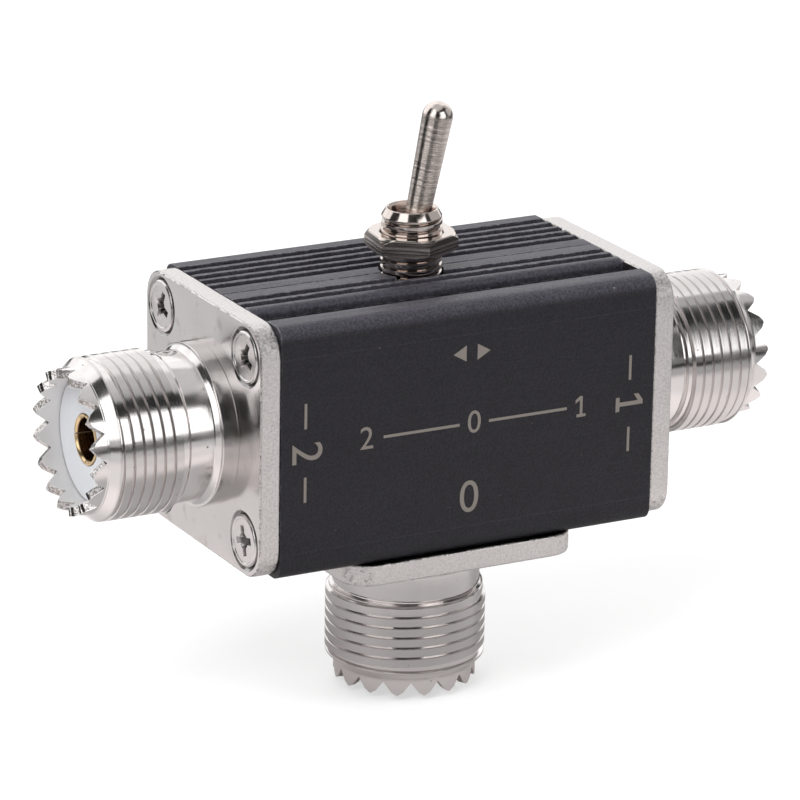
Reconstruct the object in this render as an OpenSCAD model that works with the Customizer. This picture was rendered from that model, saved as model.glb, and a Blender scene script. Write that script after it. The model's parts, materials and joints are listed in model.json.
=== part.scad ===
// Coaxial antenna switch: a split extruded case with three threaded sockets and a
// two-position toggle switch that joins the common socket to port 1 or port 2.
// The origin is under the middle of the case, level with the crown tips of the lower
// socket. +X runs along the case to port 1, -Y faces the front and +Z is up.

/* [Case] */
// Length of the case between the two end flanges
case_len = 40.6; // [38:0.2:60]
// Side of the square section of the case, and of the flanges on it
case_size = 25; // [24.4:0.2:28]
// Thickness of the case walls
wall_t = 1.6; // [1.4:0.1:1.8]
// Radius of the long outer corners
corner_r = 1.4; // [0.8:0.1:2]
// Width of the lip, from the face beyond it to its inner edge
lip_w = 3.3; // [2.9:0.1:3.7]
// Depth of the valley between seam edge and lip
valley_d = 1.2; // [1.1:0.1:1.4]
// Thickness of the ledge under the seam edge
ledge_t = 0.9; // [0.7:0.1:1]
// How far the ledge reaches in under the seam edge
ledge_lap = 1.3; // [1.1:0.1:1.5]
// Room between the end of the ledge and the lock washer
washer_room = 0.2; // [0.15:0.05:0.4]
// Rounding of the seam edge
seam_r = 0.7; // [0.4:0.1:0.9]
// Rounding of the lip's inner edge
lip_r = 0.3; // [0.2:0.05:0.5]

/* [Ribs] */
// Spacing of the ribs on the top
rib_pitch = 1.69; // [1.5:0.01:1.72]
// Width of one groove between two ribs
groove_w = 1.2; // [0.8:0.05:1.3]
// Depth of the grooves
groove_d = 0.6; // [0.3:0.05:0.7]
// Half width of the flat strip under the toggle
strip_half_w = 1.9; // [1.6:0.1:2]
// Width of the fine line along the middle of the strip
line_w = 0.3; // [0.2:0.05:0.5]

/* [Sockets] */
// Thickness of the flange
flange_t = 2.1; // [1.9:0.1:2.6]
// Radius of the flange corners
flange_corner_r = 3; // [1.5:0.1:3.2]
// Radius of the boss on the flange
boss_r = 8; // [7.95:0.05:8.5]
// Length of the boss
boss_len = 1.7; // [1:0.1:2.4]
// Radius of the neck behind the thread
neck_r = 7.3; // [7.1:0.05:7.6]
// Distance from the flange to the end of the neck
neck_end = 4.75; // [4.2:0.05:5]
// Outer radius of the socket thread
thread_r = 7.94; // [7.9:0.01:7.98]
// Pitch of the socket thread
thread_pitch = 1.058; // [1:0.001:1.1]
// Number of turns of the socket thread
thread_turns = 7; // [5:1:7]
// Distance from the flange to the crown tips
socket_len = 14.6; // [14.2:0.1:16]
// Outer radius of the crown
crown_r = 7.05; // [6.9:0.05:7.2]
// Bore of the socket, as a radius
socket_bore_r = 6.1; // [5.8:0.05:6.3]
// Number of notches in the crown
crown_notches = 16; // [12:2:20]
// Depth of the crown notches
notch_d = 1.4; // [0.8:0.1:1.5]
// Half width of a crown notch at the tips
notch_half_w = 1.05; // [0.9:0.05:1.2]

/* [Insulator and centre contact] */
// Depth of the insulator's face behind the crown tips
face_recess = 2.4; // [2:0.1:3.4]
// Radius of the insulator's head in the back of the flange
ins_head_r = 6.6; // [6.4:0.05:7]
// Depth of the seat for the insulator's head
ins_head_t = 1.2; // [1:0.1:1.4]
// Radius of the insulator behind the flange
ins_tail_r = 5.9; // [5.8:0.05:6]
// Length of the insulator behind the flange
ins_tail_len = 2.5; // [1.9:0.1:3]
// Outer radius of the centre contact
contact_r = 2.45; // [2.4:0.05:2.8]
// Bore of the centre contact, as a radius
contact_bore_r = 2.05; // [2:0.01:2.15]
// Depth of the bore of the centre contact
contact_bore_len = 9; // [7:0.5:10]
// Width of the slots in the centre contact
slot_w = 0.15; // [0.1:0.05:0.6]
// Length of the slots in the centre contact
slot_len = 6; // [4:0.5:7]
// Outer radius of the solder cup
cup_r = 1.9; // [1.7:0.1:2.1]
// Bore of the solder cup, as a radius
cup_bore_r = 1.1; // [0.9:0.05:1.2]
// Length of the solder cup behind the insulator
cup_len = 4.5; // [4:0.1:5]

/* [Flange screws] */
// Distance of the screws from the edges of the flange
screw_edge = 3.4; // [3.3:0.1:3.5]
// Radius of the screw shank
screw_r = 1.5; // [1.4:0.05:1.6]
// Radius of the screw head
head_r = 2.6; // [2.4:0.05:2.7]
// Height of the straight rim of the screw head
head_rim = 0.45; // [0.3:0.05:0.6]
// Radius of the countersink at the flange face
sink_r = 2.95; // [2.85:0.05:3.1]
// Length of the screw below the flange face
screw_len = 6; // [5:0.5:6.5]
// Outer radius of the screw channels in the case
channel_r = 2.3; // [2.1:0.05:2.4]
// Radius of the undrilled screw channels
channel_bore_r = 1.25; // [1.1:0.05:1.3]

/* [Toggle switch] */
// Height of the bushing above the case
bushing_h = 6.2; // [5.8:0.1:7]
// Outer radius of the bushing thread
bushing_r = 3; // [2.95:0.01:3.05]
// Pitch of the bushing thread
bushing_pitch = 0.75; // [0.7:0.01:0.8]
// Width of the nut across its flats
nut_af = 8; // [7.6:0.1:9]
// Thickness of the nut
nut_t = 1.8; // [1.5:0.1:2.2]
// Turn of the nut on its thread
nut_turn = 24; // [0:1:59]
// Height of the nut's underside above the case
nut_h = 2.1; // [1:0.1:3]
// Outer radius of the lock washer
washer_r = 4.4; // [4:0.1:4.5]
// Thickness of the lock washer
washer_t = 0.5; // [0.4:0.05:0.6]
// Length of the moulded base
base_len = 12.4; // [12:0.1:13]
// Width of the moulded base
base_w = 7.9; // [7:0.1:8.4]
// Height of the moulded base
base_h = 9.3; // [9.1:0.1:9.6]
// Wall of the moulded base
base_wall = 0.8; // [0.6:0.05:0.9]
// Floor of the moulded base
base_floor = 1.5; // [1.2:0.1:1.6]
// Thickness of the sheet metal frame
frame_t = 0.45; // [0.35:0.05:0.5]
// Width of the legs of the frame
frame_leg_w = 5; // [3:0.5:6]

/* [Lever] */
// Height of the lever's pivot above the case
pivot_h = 2.3; // [2.2:0.05:2.5]
// Angle of the lever from upright at each end of its travel
lever_angle = 11.7; // [10:0.1:12]
// Distance from the pivot to the middle of the ball end
lever_len = 12.9; // [11:0.1:16]
// Radius of the lever where it leaves the bushing
lever_r = 1.25; // [1.1:0.05:1.3]
// Radius of the lever's ball end
tip_r = 1.5; // [1.3:0.05:1.8]
// Radius of the pivot ball
ball_r = 1.95; // [1.9:0.01:1.96]
// Radius of the lever's hollow tail
tail_r = 1.1; // [1.05:0.05:1.15]
// Length of the tail below the pivot
tail_len = 7.8; // [7.6:0.1:7.9]
// Radius of the pivot pin
pin_r = 0.5; // [0.4:0.05:0.55]
// Radius of the plunger's shank
plunger_r = 0.7; // [0.65:0.01:0.72]
// Radius of the plunger's round tip
plunger_tip_r = 1.05; // [1:0.05:1.1]
// Distance from the pivot to the middle of the plunger's tip
plunger_reach = 9; // [8.95:0.05:9.1]
// Diameter of the spring wire
spring_wire = 0.2; // [0.15:0.01:0.22]
// Number of turns of the plunger spring
spring_turns = 5; // [3:1:6]

/* [Rocker and terminals] */
// Angle of the rocker from level at each end of its travel
rocker_angle = 8; // [7.5:0.1:8.2]
// Upward slope of each arm of the rocker
rocker_v = 15; // [14.5:0.1:16]
// Thickness of the rocker
rocker_t = 0.5; // [0.4:0.05:0.6]
// Width of the rocker
rocker_w = 3; // [2.4:0.1:3.4]
// How far each arm of the rocker reaches past its terminal
rocker_past = 0.2; // [0.1:0.05:0.25]
// Gap between the outer terminals and the end walls of the base
term_room = 0.1; // [0.05:0.01:0.15]
// Width of the terminals
term_w = 2; // [1.8:0.1:2.2]
// Thickness of the terminals
term_t = 0.8; // [0.6:0.05:0.9]
// Share of the room under the base that the terminals take
lug_share = 0.65; // [0.6:0.01:0.68]
// Radius of the eyelets in the terminals
eyelet_r = 0.6; // [0.56:0.01:0.65]

/* [Wires] */
// Radius of the wires
wire_r = 0.5; // [0.4:0.01:0.52]
// Distance of the crossing wires from the middle plane
wire_y = 3.2; // [2.6:0.1:4]
// Length of wire inside a solder cup
wire_in_cup = 3; // [2:0.5:3.5]

/* [Fits] */
// Radial gap of seated round pieces
seat_gap = 0.05; // [0.02:0.01:0.08]
// Radial gap of running pieces
run_gap = 0.05; // [0.03:0.01:0.08]
// Radial gap of the bushing in the case wall
bushing_gap = 0.2; // [0.1:0.05:0.3]
// Radial gap of the insulator in the opening of the case bottom
opening_gap = 0.3; // [0.25:0.05:0.35]
// Gap between the plunger's tip and the rocker
plunger_gap = 0.16; // [0.14:0.01:0.18]
// Gap between the ledge and the seam edge above it
lap_gap = 0.05; // [0.03:0.01:0.1]
// Depth that cutting tools reach past a face
over = 0.5; // [0.3:0.1:0.6]

/* [Hidden] */

// Smoothness of large, medium and small round shapes
fn_big = 96;
fn_mid = 64;
fn_small = 32;

// Heights of the through axis, of the case top and of the case bottom
axis_z = case_size / 2 + flange_t + socket_len;
case_top = axis_z + case_size / 2;
case_bottom = axis_z - case_size / 2;

// Seam edge, lip, ledge and screw channels, measured from the middle plane
ledge_y = washer_r + washer_room;
seam_y = ledge_y + ledge_lap;
lip_y = case_size / 2 - lip_w;
channel_y = case_size / 2 - screw_edge;

// Numbers of grooves that fit behind and in front of the flat strip
rear_grooves = floor((case_size / 2 - corner_r - strip_half_w) / rib_pitch);
front_grooves = floor((seam_y - strip_half_w) / rib_pitch);

// Shares of a thread's pitch at which a flank starts and ends
flank_foot = 0.04;
flank_top = 0.22;

// Socket stations, measured outward from the back of the flange
neck_chamfer = 0.45;
relief_w = 0.2;
relief_r = neck_r - 0.25;
thread_depth = 0.65;
root_r = thread_r - thread_depth;
thread_start = flange_t + neck_end + relief_w;
crown_len = notch_d + 0.15;
tips = flange_t + socket_len;
crown_start = tips - crown_len;
ins_face = tips - face_recess;
notch_slope = notch_half_w / notch_d;

// Centre contact stations, measured the same way
contact_shoulder = 1;
contact_front = ins_face + 0.1;
contact_mouth = 0.2;
cup_end = ins_tail_len + cup_len;
cup_bore_len = cup_len - 0.7;
cup_open_len = 2;
upset_r = cup_r + 0.4;
upset_t = 0.5;

// Screw stations
screw_proud = 0.1;
tap_r = screw_r + seat_gap;
hole_r = tap_r + 0.1;
tap_depth = 7;
recess_w = 0.8;
recess_len = 3.2;
recess_d = 0.9;
recess_core_d = 1.4;
cone_gap = 0.02;

// Half width of a channel's web, width of its foot and depth of a clean cut past a face
web_half_w = 0.7 * channel_r;
foot_w = 0.6 * channel_r;
clean = 0.01;

// Toggle switch stations, measured up from the case top
wall_under = -wall_t;
frame_top = wall_under - washer_t;
base_top = frame_top - frame_t;
base_bottom = base_top - base_h;
shoulder_r = bushing_r + 0.4;
shoulder_t = 0.8;
shoulder_bottom = base_top - shoulder_t;
bushing_thread_depth = 0.46;
bushing_root_r = bushing_r - bushing_thread_depth;
bushing_thread_start = -1.1;
bushing_runout = 0.2;
bushing_nose = 0.4;
bushing_turns = floor((bushing_h - bushing_nose - bushing_thread_start) / bushing_pitch);
rim_edge = 0.1;
rim_chamfer = 0.15;
mouth_t = 0.3;
ball_seat_r = ball_r + run_gap;
rim_above = bushing_h - pivot_h;
throat_above = 1.1;
lever_gap = 0.22;
throat_r = throat_above * tan(lever_angle) + lever_r + lever_gap + 0.05;
rim_r = rim_above * tan(lever_angle) + lever_r + lever_gap;
mouth_r = rim_r + rim_chamfer;
under_seat = 2;
bore_bottom_r = (pivot_h - shoulder_bottom) * tan(lever_angle) + tail_r + lever_gap;
pin_len = 2 * (bushing_root_r - 0.04);
tail_bore_r = plunger_r + run_gap;
tail_bore_top = 3.2;
shank_top = 5.6;

// Rocker stations, measured up from the case top
tip_centre = pivot_h - plunger_reach;
rocker_pivot = tip_centre - (plunger_tip_r + plunger_gap + rocker_t) / cos(rocker_v);
arm_slope = rocker_v - rocker_angle;
pad_gap = 0.04;
pad_t = 0.5;
pad_half = 0.6;
term_pitch = base_len / 2 - base_wall - pad_half - term_room;
rocker_arm = term_pitch + rocker_past;
pad_top = rocker_pivot + (term_pitch - pad_half) * tan(arm_slope) - pad_gap;
saddle_gap = 0.06;
ear_t = 0.35;
ear_gap = 0.12;
ear_drop = 1;
ear_len = 1.6;
lug_bottom = base_bottom - lug_share * (case_size + base_bottom - cup_end);
eyelet_z = lug_bottom + 1.1;
fit_gap = 0.02;

// Sockets stand with their axis outward from the case face that they sit on
module at_port_1() {
    translate([case_len / 2, 0, axis_z]) rotate([0, 90, 0]) children();
}

module at_port_2() {
    translate([-case_len / 2, 0, axis_z]) rotate([0, -90, 0]) children();
}

module at_common() {
    translate([0, 0, case_bottom]) rotate([180, 0, 0]) children();
}

// Everything of the toggle switch is placed from the top face of the case
module at_top() {
    translate([0, 0, case_top]) children();
}

// Lever parts are drawn upright about the pivot and lean toward port 1
module at_pivot() {
    at_top() translate([0, 0, pivot_h]) rotate([0, lever_angle, 0]) children();
}

module at_screws() {
    for (side_x = [-1, 1], side_y = [-1, 1])
        translate([side_x * channel_y, side_y * channel_y, 0]) children();
}

// Rectangle with rounded corners, centred
module rounded_rect(w, h, r) {
    square([w - 2 * r, h], center = true);
    square([w, h - 2 * r], center = true);
    for (side_x = [-1, 1], side_y = [-1, 1])
        translate([side_x * (w / 2 - r), side_y * (h / 2 - r)]) circle(r = r, $fn = fn_mid);
}

// What a rounding of radius r takes off a corner at the origin that lies at +x, +y
module corner_cut(r) {
    difference() {
        translate([-r, -r]) square(r + over);
        translate([-r, -r]) circle(r = r, $fn = fn_small);
    }
}

// One turn after another of a ring thread, as points from the bottom up to the last crest
function thread_points(crest, root, pitch, start, turns) = [
    for (turn = [0 : turns - 1])
        for (step = [[root, -flank_foot], [root, flank_foot],
                     [crest, flank_top], [crest, 1 - flank_top]])
            [step[0], start + (turn + step[1]) * pitch]
];

// Section of one half of the case: rear wall, ribbed top wall, lip, ledge, channels.
// x is the depth from front to back and y is the height above the middle.
module half_case_section() {
    difference() {
        union() {
            intersection() {
                rounded_rect(case_size, case_size, corner_r);
                union() {
                    translate([case_size / 2 - wall_t, -case_size / 2]) square([wall_t, case_size]);
                    translate([-seam_y, case_size / 2 - wall_t])
                        square([seam_y + case_size / 2, wall_t]);
                    translate([lip_y, -case_size / 2])
                        square([case_size / 2 - lip_y, case_size / 2 - channel_y]);
                }
            }
            translate([ledge_y, valley_d - case_size / 2])
                square([channel_y - ledge_y, ledge_t]);
            for (side = [-1, 1]) translate([channel_y, side * channel_y]) channel_boss(side);
        }
        translate([-seam_y - over, case_size / 2 - wall_t - over])
            square([ledge_lap + over + lap_gap, wall_t + over - valley_d + lap_gap]);
        translate([-seam_y, case_size / 2]) mirror([1, 0]) corner_cut(seam_r);
        translate([lip_y, -case_size / 2]) rotate(180) corner_cut(lip_r);
        top_grooves();
        for (side = [-1, 1]) translate([channel_y, side * channel_y]) channel_bore(side);
    }
}

// Screw channel with a web that joins it to the wall behind it
module channel_boss(side) {
    web_len = case_size / 2 - wall_t - channel_y + over;
    foot_len = case_size / 2 - channel_y - (side > 0 ? wall_t - over : valley_d);
    circle(r = channel_r, $fn = fn_mid);
    translate([0, -web_half_w]) square([web_len, 2 * web_half_w]);
    translate([0, side > 0 ? 0 : -foot_len]) square([foot_w, foot_len]);
}

// Bore of a screw channel and its slot toward the middle of the case
module channel_bore(side) {
    slot = channel_bore_r;
    circle(r = channel_bore_r, $fn = fn_mid);
    rotate(side > 0 ? 225 : 135) translate([0, -slot / 2]) square([channel_r + over, slot]);
}

// Grooves of the ribbed top and the fine line along its middle
module top_grooves() {
    for (place = [0 : rear_grooves - 1])
        translate([strip_half_w + place * rib_pitch, case_size / 2 - groove_d])
            square([groove_w, groove_d + over]);
    for (place = [0 : front_grooves - 1])
        translate([-strip_half_w - groove_w - place * rib_pitch, case_size / 2 - groove_d])
            square([groove_w, groove_d + over]);
    translate([0, case_size / 2]) rotate(45) square(line_w / sqrt(2), center = true);
}

// Half shell standing at the rear of the case, without its drilled holes
module half_case() {
    rotate([90, 0, 90]) translate([0, 0, -case_len / 2])
        linear_extrude(case_len) half_case_section();
}

// Holes tapped into the screw channels for the screws of all three flanges
module tapped_holes() {
    for (end = [-1, 1], side_y = [-1, 1], side_z = [-1, 1])
        translate([end * case_len / 2, side_y * channel_y, axis_z + side_z * channel_y])
            rotate([0, -end * 90, 0]) translate([0, 0, -over])
                cylinder(r = tap_r, h = tap_depth + over, $fn = fn_small);
    at_common() at_screws() translate([0, 0, -screw_len + flange_t - fit_gap])
        cylinder(r = tap_r, h = screw_len, $fn = fn_small);
}

// Opening in the case bottom for the lower socket's insulator
module common_opening() {
    at_common() translate([0, 0, -wall_t - valley_d])
        cylinder(r = ins_tail_r + opening_gap, h = wall_t + valley_d + over, $fn = fn_big);
}

module front_shell() {
    color([0.1, 0.1, 0.11]) difference() {
        translate([0, 0, axis_z]) rotate([180, 0, 0]) half_case();
        tapped_holes();
        common_opening();
    }
}

module rear_shell() {
    color([0.1, 0.1, 0.11]) difference() {
        translate([0, 0, axis_z]) half_case();
        tapped_holes();
        common_opening();
        at_top() translate([0, 0, wall_under - over])
            cylinder(r = bushing_r + bushing_gap, h = wall_t + 2 * over, $fn = fn_mid);
    }
}

// Turned outline of a socket from the face of the flange to the crown
module socket_section() {
    polygon(concat(
        [[socket_bore_r, flange_t / 2], [boss_r, flange_t / 2], [boss_r, flange_t + boss_len],
         [neck_r, flange_t + boss_len + neck_chamfer], [neck_r, flange_t + neck_end],
         [relief_r, flange_t + neck_end + relief_w / 2]],
        thread_points(thread_r, root_r, thread_pitch, thread_start, thread_turns),
        [[crown_r, crown_start], [crown_r, tips], [socket_bore_r, tips]]));
}

// V notches cut through the crown, two at a time
module crown_cuts() {
    for (place = [0 : crown_notches / 2 - 1])
        rotate([90, 0, place * 360 / crown_notches])
            translate([0, 0, -crown_r - over]) linear_extrude(2 * (crown_r + over))
                polygon([[0, tips - notch_d],
                         [notch_slope * (notch_d + over), tips + over],
                         [-notch_slope * (notch_d + over), tips + over]]);
}

module socket_shell() {
    color([0.78, 0.76, 0.73]) difference() {
        union() {
            linear_extrude(flange_t) rounded_rect(case_size, case_size, flange_corner_r);
            rotate_extrude($fn = fn_big) socket_section();
        }
        translate([0, 0, -over]) cylinder(r = socket_bore_r, h = tips + 2 * over, $fn = fn_big);
        translate([0, 0, -over])
            cylinder(r = ins_head_r + seat_gap, h = ins_head_t + over, $fn = fn_big);
        crown_cuts();
        at_screws() countersink();
    }
}

// Clearance hole with a countersink of 90 degrees
module countersink() {
    translate([0, 0, -over]) cylinder(r = hole_r, h = flange_t + 2 * over, $fn = fn_small);
    translate([0, 0, flange_t - (sink_r - hole_r)])
        cylinder(r1 = hole_r, r2 = sink_r + over, h = sink_r + over - hole_r, $fn = fn_mid);
}

module port_1_socket() {
    at_port_1() socket_shell();
}

module port_2_socket() {
    at_port_2() socket_shell();
}

module common_socket() {
    at_common() socket_shell();
}

module insulator() {
    color([0.93, 0.93, 0.95]) difference() {
        union() {
            translate([0, 0, -ins_tail_len])
                cylinder(r = ins_tail_r, h = ins_tail_len + ins_head_t / 2, $fn = fn_big);
            cylinder(r = ins_head_r, h = ins_head_t, $fn = fn_big);
            cylinder(r = socket_bore_r - seat_gap, h = ins_face, $fn = fn_big);
        }
        translate([0, 0, -ins_tail_len - over])
            cylinder(r = cup_r + seat_gap, h = ins_face, $fn = fn_mid);
        translate([0, 0, contact_shoulder])
            cylinder(r = contact_r + seat_gap, h = ins_face, $fn = fn_mid);
    }
}

module port_1_insulator() {
    at_port_1() insulator();
}

module port_2_insulator() {
    at_port_2() insulator();
}

module common_insulator() {
    at_common() insulator();
}

// Slotted spring socket in front, solder cup with an open side at the back
module centre_contact() {
    color([0.83, 0.63, 0.25]) difference() {
        union() {
            translate([0, 0, contact_shoulder])
                cylinder(r = contact_r, h = contact_front - contact_shoulder, $fn = fn_mid);
            translate([0, 0, -cup_end])
                cylinder(r = cup_r, h = cup_end + contact_shoulder, $fn = fn_mid);
            translate([0, 0, -ins_tail_len - upset_t])
                cylinder(r = upset_r, h = upset_t, $fn = fn_mid);
        }
        translate([0, 0, contact_front - contact_bore_len])
            cylinder(r = contact_bore_r, h = contact_bore_len + over, $fn = fn_mid);
        translate([0, 0, contact_front - contact_mouth])
            cylinder(r1 = contact_bore_r, r2 = contact_r, h = contact_r - contact_bore_r,
                     $fn = fn_mid);
        for (turn = [0, 90]) rotate(turn)
            translate([-contact_r - over, -slot_w / 2, contact_front - slot_len])
                cube([2 * (contact_r + over), slot_w, slot_len + over]);
        translate([0, 0, -cup_end - over])
            cylinder(r = cup_bore_r, h = cup_bore_len + over, $fn = fn_mid);
        translate([0, -cup_r - over, -cup_end - over])
            cube([cup_r + over, 2 * (cup_r + over), cup_open_len + over]);
    }
}

module port_1_contact() {
    at_port_1() centre_contact();
}

module port_2_contact() {
    at_port_2() centre_contact();
}

module common_contact() {
    at_common() centre_contact();
}

// Countersunk screw with a cross recess, its head a little proud of the flange
module flange_screw() {
    head_top = flange_t + screw_proud;
    rim_bottom = head_top - head_rim;
    cone_h = head_r - screw_r;
    difference() {
        union() {
            translate([0, 0, rim_bottom]) cylinder(r = head_r - cone_gap, h = head_rim, $fn = fn_mid);
            translate([0, 0, rim_bottom - cone_h])
                cylinder(r1 = screw_r, r2 = head_r - cone_gap, h = cone_h, $fn = fn_mid);
            translate([0, 0, flange_t - screw_len])
                cylinder(r = screw_r, h = screw_len - head_rim, $fn = fn_small);
        }
        for (turn = [0, 90]) rotate(turn)
            translate([-recess_len / 2, -recess_w / 2, head_top - recess_d])
                cube([recess_len, recess_w, recess_d + over]);
        translate([0, 0, head_top - recess_core_d])
            cylinder(r1 = recess_w / 2, r2 = recess_w, h = recess_core_d + clean, $fn = fn_small);
    }
}

module flange_screws() {
    color([0.72, 0.7, 0.67]) at_screws() flange_screw();
}

module port_1_screws() {
    at_port_1() flange_screws();
}

module port_2_screws() {
    at_port_2() flange_screws();
}

module common_screws() {
    at_common() flange_screws();
}

// Threaded bushing with the lever's ball seat and a wider bore under it
module switch_bushing() {
    color([0.7, 0.67, 0.62]) at_top() difference() {
        rotate_extrude($fn = fn_mid) polygon(concat(
            [[0, shoulder_bottom], [shoulder_r, shoulder_bottom], [shoulder_r, base_top],
             [bushing_r, base_top], [bushing_r, bushing_thread_start - bushing_runout]],
            thread_points(bushing_r, bushing_root_r, bushing_pitch, bushing_thread_start,
                          bushing_turns),
            [[mouth_r + rim_edge, bushing_h], [0, bushing_h]]));
        translate([0, 0, pivot_h]) sphere(r = ball_seat_r, $fn = fn_mid);
        translate([0, 0, pivot_h + throat_above])
            cylinder(r1 = throat_r, r2 = rim_r, h = rim_above - throat_above, $fn = fn_mid);
        translate([0, 0, bushing_h - mouth_t])
            cylinder(r1 = rim_r, r2 = mouth_r, h = mouth_t + clean, $fn = fn_mid);
        translate([0, 0, pivot_h - under_seat])
            cylinder(r = ball_seat_r, h = under_seat, $fn = fn_mid);
        translate([0, 0, shoulder_bottom - clean])
            cylinder(r1 = bore_bottom_r, r2 = ball_seat_r,
                     h = pivot_h - under_seat - shoulder_bottom + 2 * clean, $fn = fn_mid);
        translate([0, 0, pivot_h]) rotate([90, 0, 0])
            cylinder(r = pin_r + fit_gap, h = pin_len, center = true, $fn = fn_small);
    }
}

// Hexagon nut with its corners chamfered on both faces
module switch_nut() {
    corner = nut_af / 2 / cos(30);
    face_r = nut_af / 2 - 0.12;
    past = corner + 0.1;
    chamfer = 0.75 * (past - face_r);
    color([0.72, 0.69, 0.64]) at_top() translate([0, 0, nut_h]) difference() {
        intersection() {
            rotate(nut_turn) cylinder(r = corner, h = nut_t, $fn = 6);
            rotate_extrude($fn = fn_mid) polygon([
                [0, 0], [face_r, 0], [past, chamfer], [past, nut_t - chamfer],
                [face_r, nut_t], [0, nut_t]]);
        }
        translate([0, 0, -over])
            cylinder(r = bushing_r + seat_gap, h = nut_t + 2 * over, $fn = fn_mid);
    }
}

// Internal-tooth lock washer against the underside of the case wall
module lock_washer() {
    tooth_gaps = 8;
    gap_w = 0.8;
    gap_end = washer_r - 0.7;
    color([0.66, 0.66, 0.66]) at_top() translate([0, 0, frame_top]) difference() {
        cylinder(r = washer_r, h = washer_t, $fn = fn_mid);
        translate([0, 0, -over])
            cylinder(r = bushing_r + seat_gap, h = washer_t + 2 * over, $fn = fn_mid);
        for (place = [0 : tooth_gaps - 1]) rotate(place * 360 / tooth_gaps)
            translate([0, -gap_w / 2, -over]) cube([gap_end, gap_w, washer_t + 2 * over]);
    }
}

// Sheet metal strap: a top plate, two legs and two tabs folded under the base
module switch_frame() {
    leg_x = base_len / 2 + seat_gap;
    leg_h = base_h + 2 * frame_t + fit_gap;
    tab_len = 0.9;
    color([0.68, 0.68, 0.68]) at_top() difference() {
        union() {
            translate([-leg_x - frame_t, -base_w / 2, base_top])
                cube([2 * (leg_x + frame_t), base_w, frame_t]);
            for (side = [-1, 1]) {
                translate([side * (leg_x + frame_t / 2), 0, frame_top - leg_h / 2])
                    cube([frame_t, frame_leg_w, leg_h], center = true);
                translate([side * (leg_x + frame_t - tab_len / 2), 0,
                           frame_top - leg_h + frame_t / 2])
                    cube([tab_len, frame_leg_w, frame_t], center = true);
            }
        }
        translate([0, 0, base_top - over])
            cylinder(r = bushing_r + seat_gap, h = frame_t + 2 * over, $fn = fn_mid);
    }
}

// Moulded base, open at the top, with a slot in its floor for each terminal
module switch_base() {
    color([0.45, 0.08, 0.07]) at_top() difference() {
        translate([-base_len / 2, -base_w / 2, base_bottom]) cube([base_len, base_w, base_h]);
        translate([-base_len / 2 + base_wall, -base_w / 2 + base_wall, base_bottom + base_floor])
            cube([base_len - 2 * base_wall, base_w - 2 * base_wall, base_h]);
        translate([0, 0, shoulder_bottom - seat_gap])
            cylinder(r = shoulder_r + seat_gap, h = shoulder_t + over, $fn = fn_mid);
        for (place = [-1, 0, 1])
            translate([place * term_pitch, 0, base_bottom + base_floor / 2])
                cube([term_t + 2 * fit_gap, term_w + 2 * fit_gap, base_floor + 2 * over],
                     center = true);
    }
}

// Lever: ball end, tapered shank, pivot ball and hollow tail
module toggle_lever() {
    color([0.76, 0.73, 0.69]) at_pivot() difference() {
        union() {
            translate([0, 0, lever_len]) sphere(r = tip_r, $fn = fn_mid);
            cylinder(r = lever_r, h = rim_above, $fn = fn_mid);
            translate([0, 0, rim_above])
                cylinder(r1 = lever_r, r2 = tip_r, h = lever_len - rim_above, $fn = fn_mid);
            sphere(r = ball_r, $fn = fn_mid);
            translate([0, 0, -tail_len]) cylinder(r = tail_r, h = tail_len, $fn = fn_mid);
        }
        rotate([90, 0, 0])
            cylinder(r = pin_r + run_gap, h = 2 * (ball_r + over), center = true, $fn = fn_small);
        translate([0, 0, -tail_len - over])
            cylinder(r = tail_bore_r, h = tail_len + over - tail_bore_top, $fn = fn_small);
    }
}

module pivot_pin() {
    color([0.6, 0.6, 0.6]) at_top() translate([0, 0, pivot_h]) rotate([90, 0, 0])
        cylinder(r = pin_r, h = pin_len, center = true, $fn = fn_small);
}

// Plunger that slides in the lever's tail and presses the rocker
module plunger() {
    color([0.9, 0.9, 0.86]) at_pivot() union() {
        translate([0, 0, -plunger_reach])
            cylinder(r = plunger_r, h = plunger_reach - shank_top, $fn = fn_small);
        translate([0, 0, -plunger_reach]) sphere(r = plunger_tip_r, $fn = fn_mid);
    }
}

// Compression spring between the plunger and the end of the tail's bore
coil_r = tail_bore_r - spring_wire / 2 - 0.06;
coil_low = -shank_top + spring_wire / 2 + fit_gap;
coil_high = -tail_bore_top - spring_wire / 2 - fit_gap;
coil_steps = 16;
coil_sides = 6;

function coil_point(step, side) =
    let (turn = step * 360 / coil_steps,
         around = side * 360 / coil_sides,
         reach = coil_r + spring_wire / 2 * cos(around),
         rise = coil_low + (coil_high - coil_low) * step / (spring_turns * coil_steps))
    [reach * cos(turn), reach * sin(turn), rise + spring_wire / 2 * sin(around)];

module plunger_spring() {
    steps = spring_turns * coil_steps;
    points = [for (step = [0 : steps]) for (side = [0 : coil_sides - 1]) coil_point(step, side)];
    color([0.7, 0.7, 0.7]) at_pivot()
        polyhedron(points = points, faces = tube_faces(steps + 1, coil_sides));
}

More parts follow.
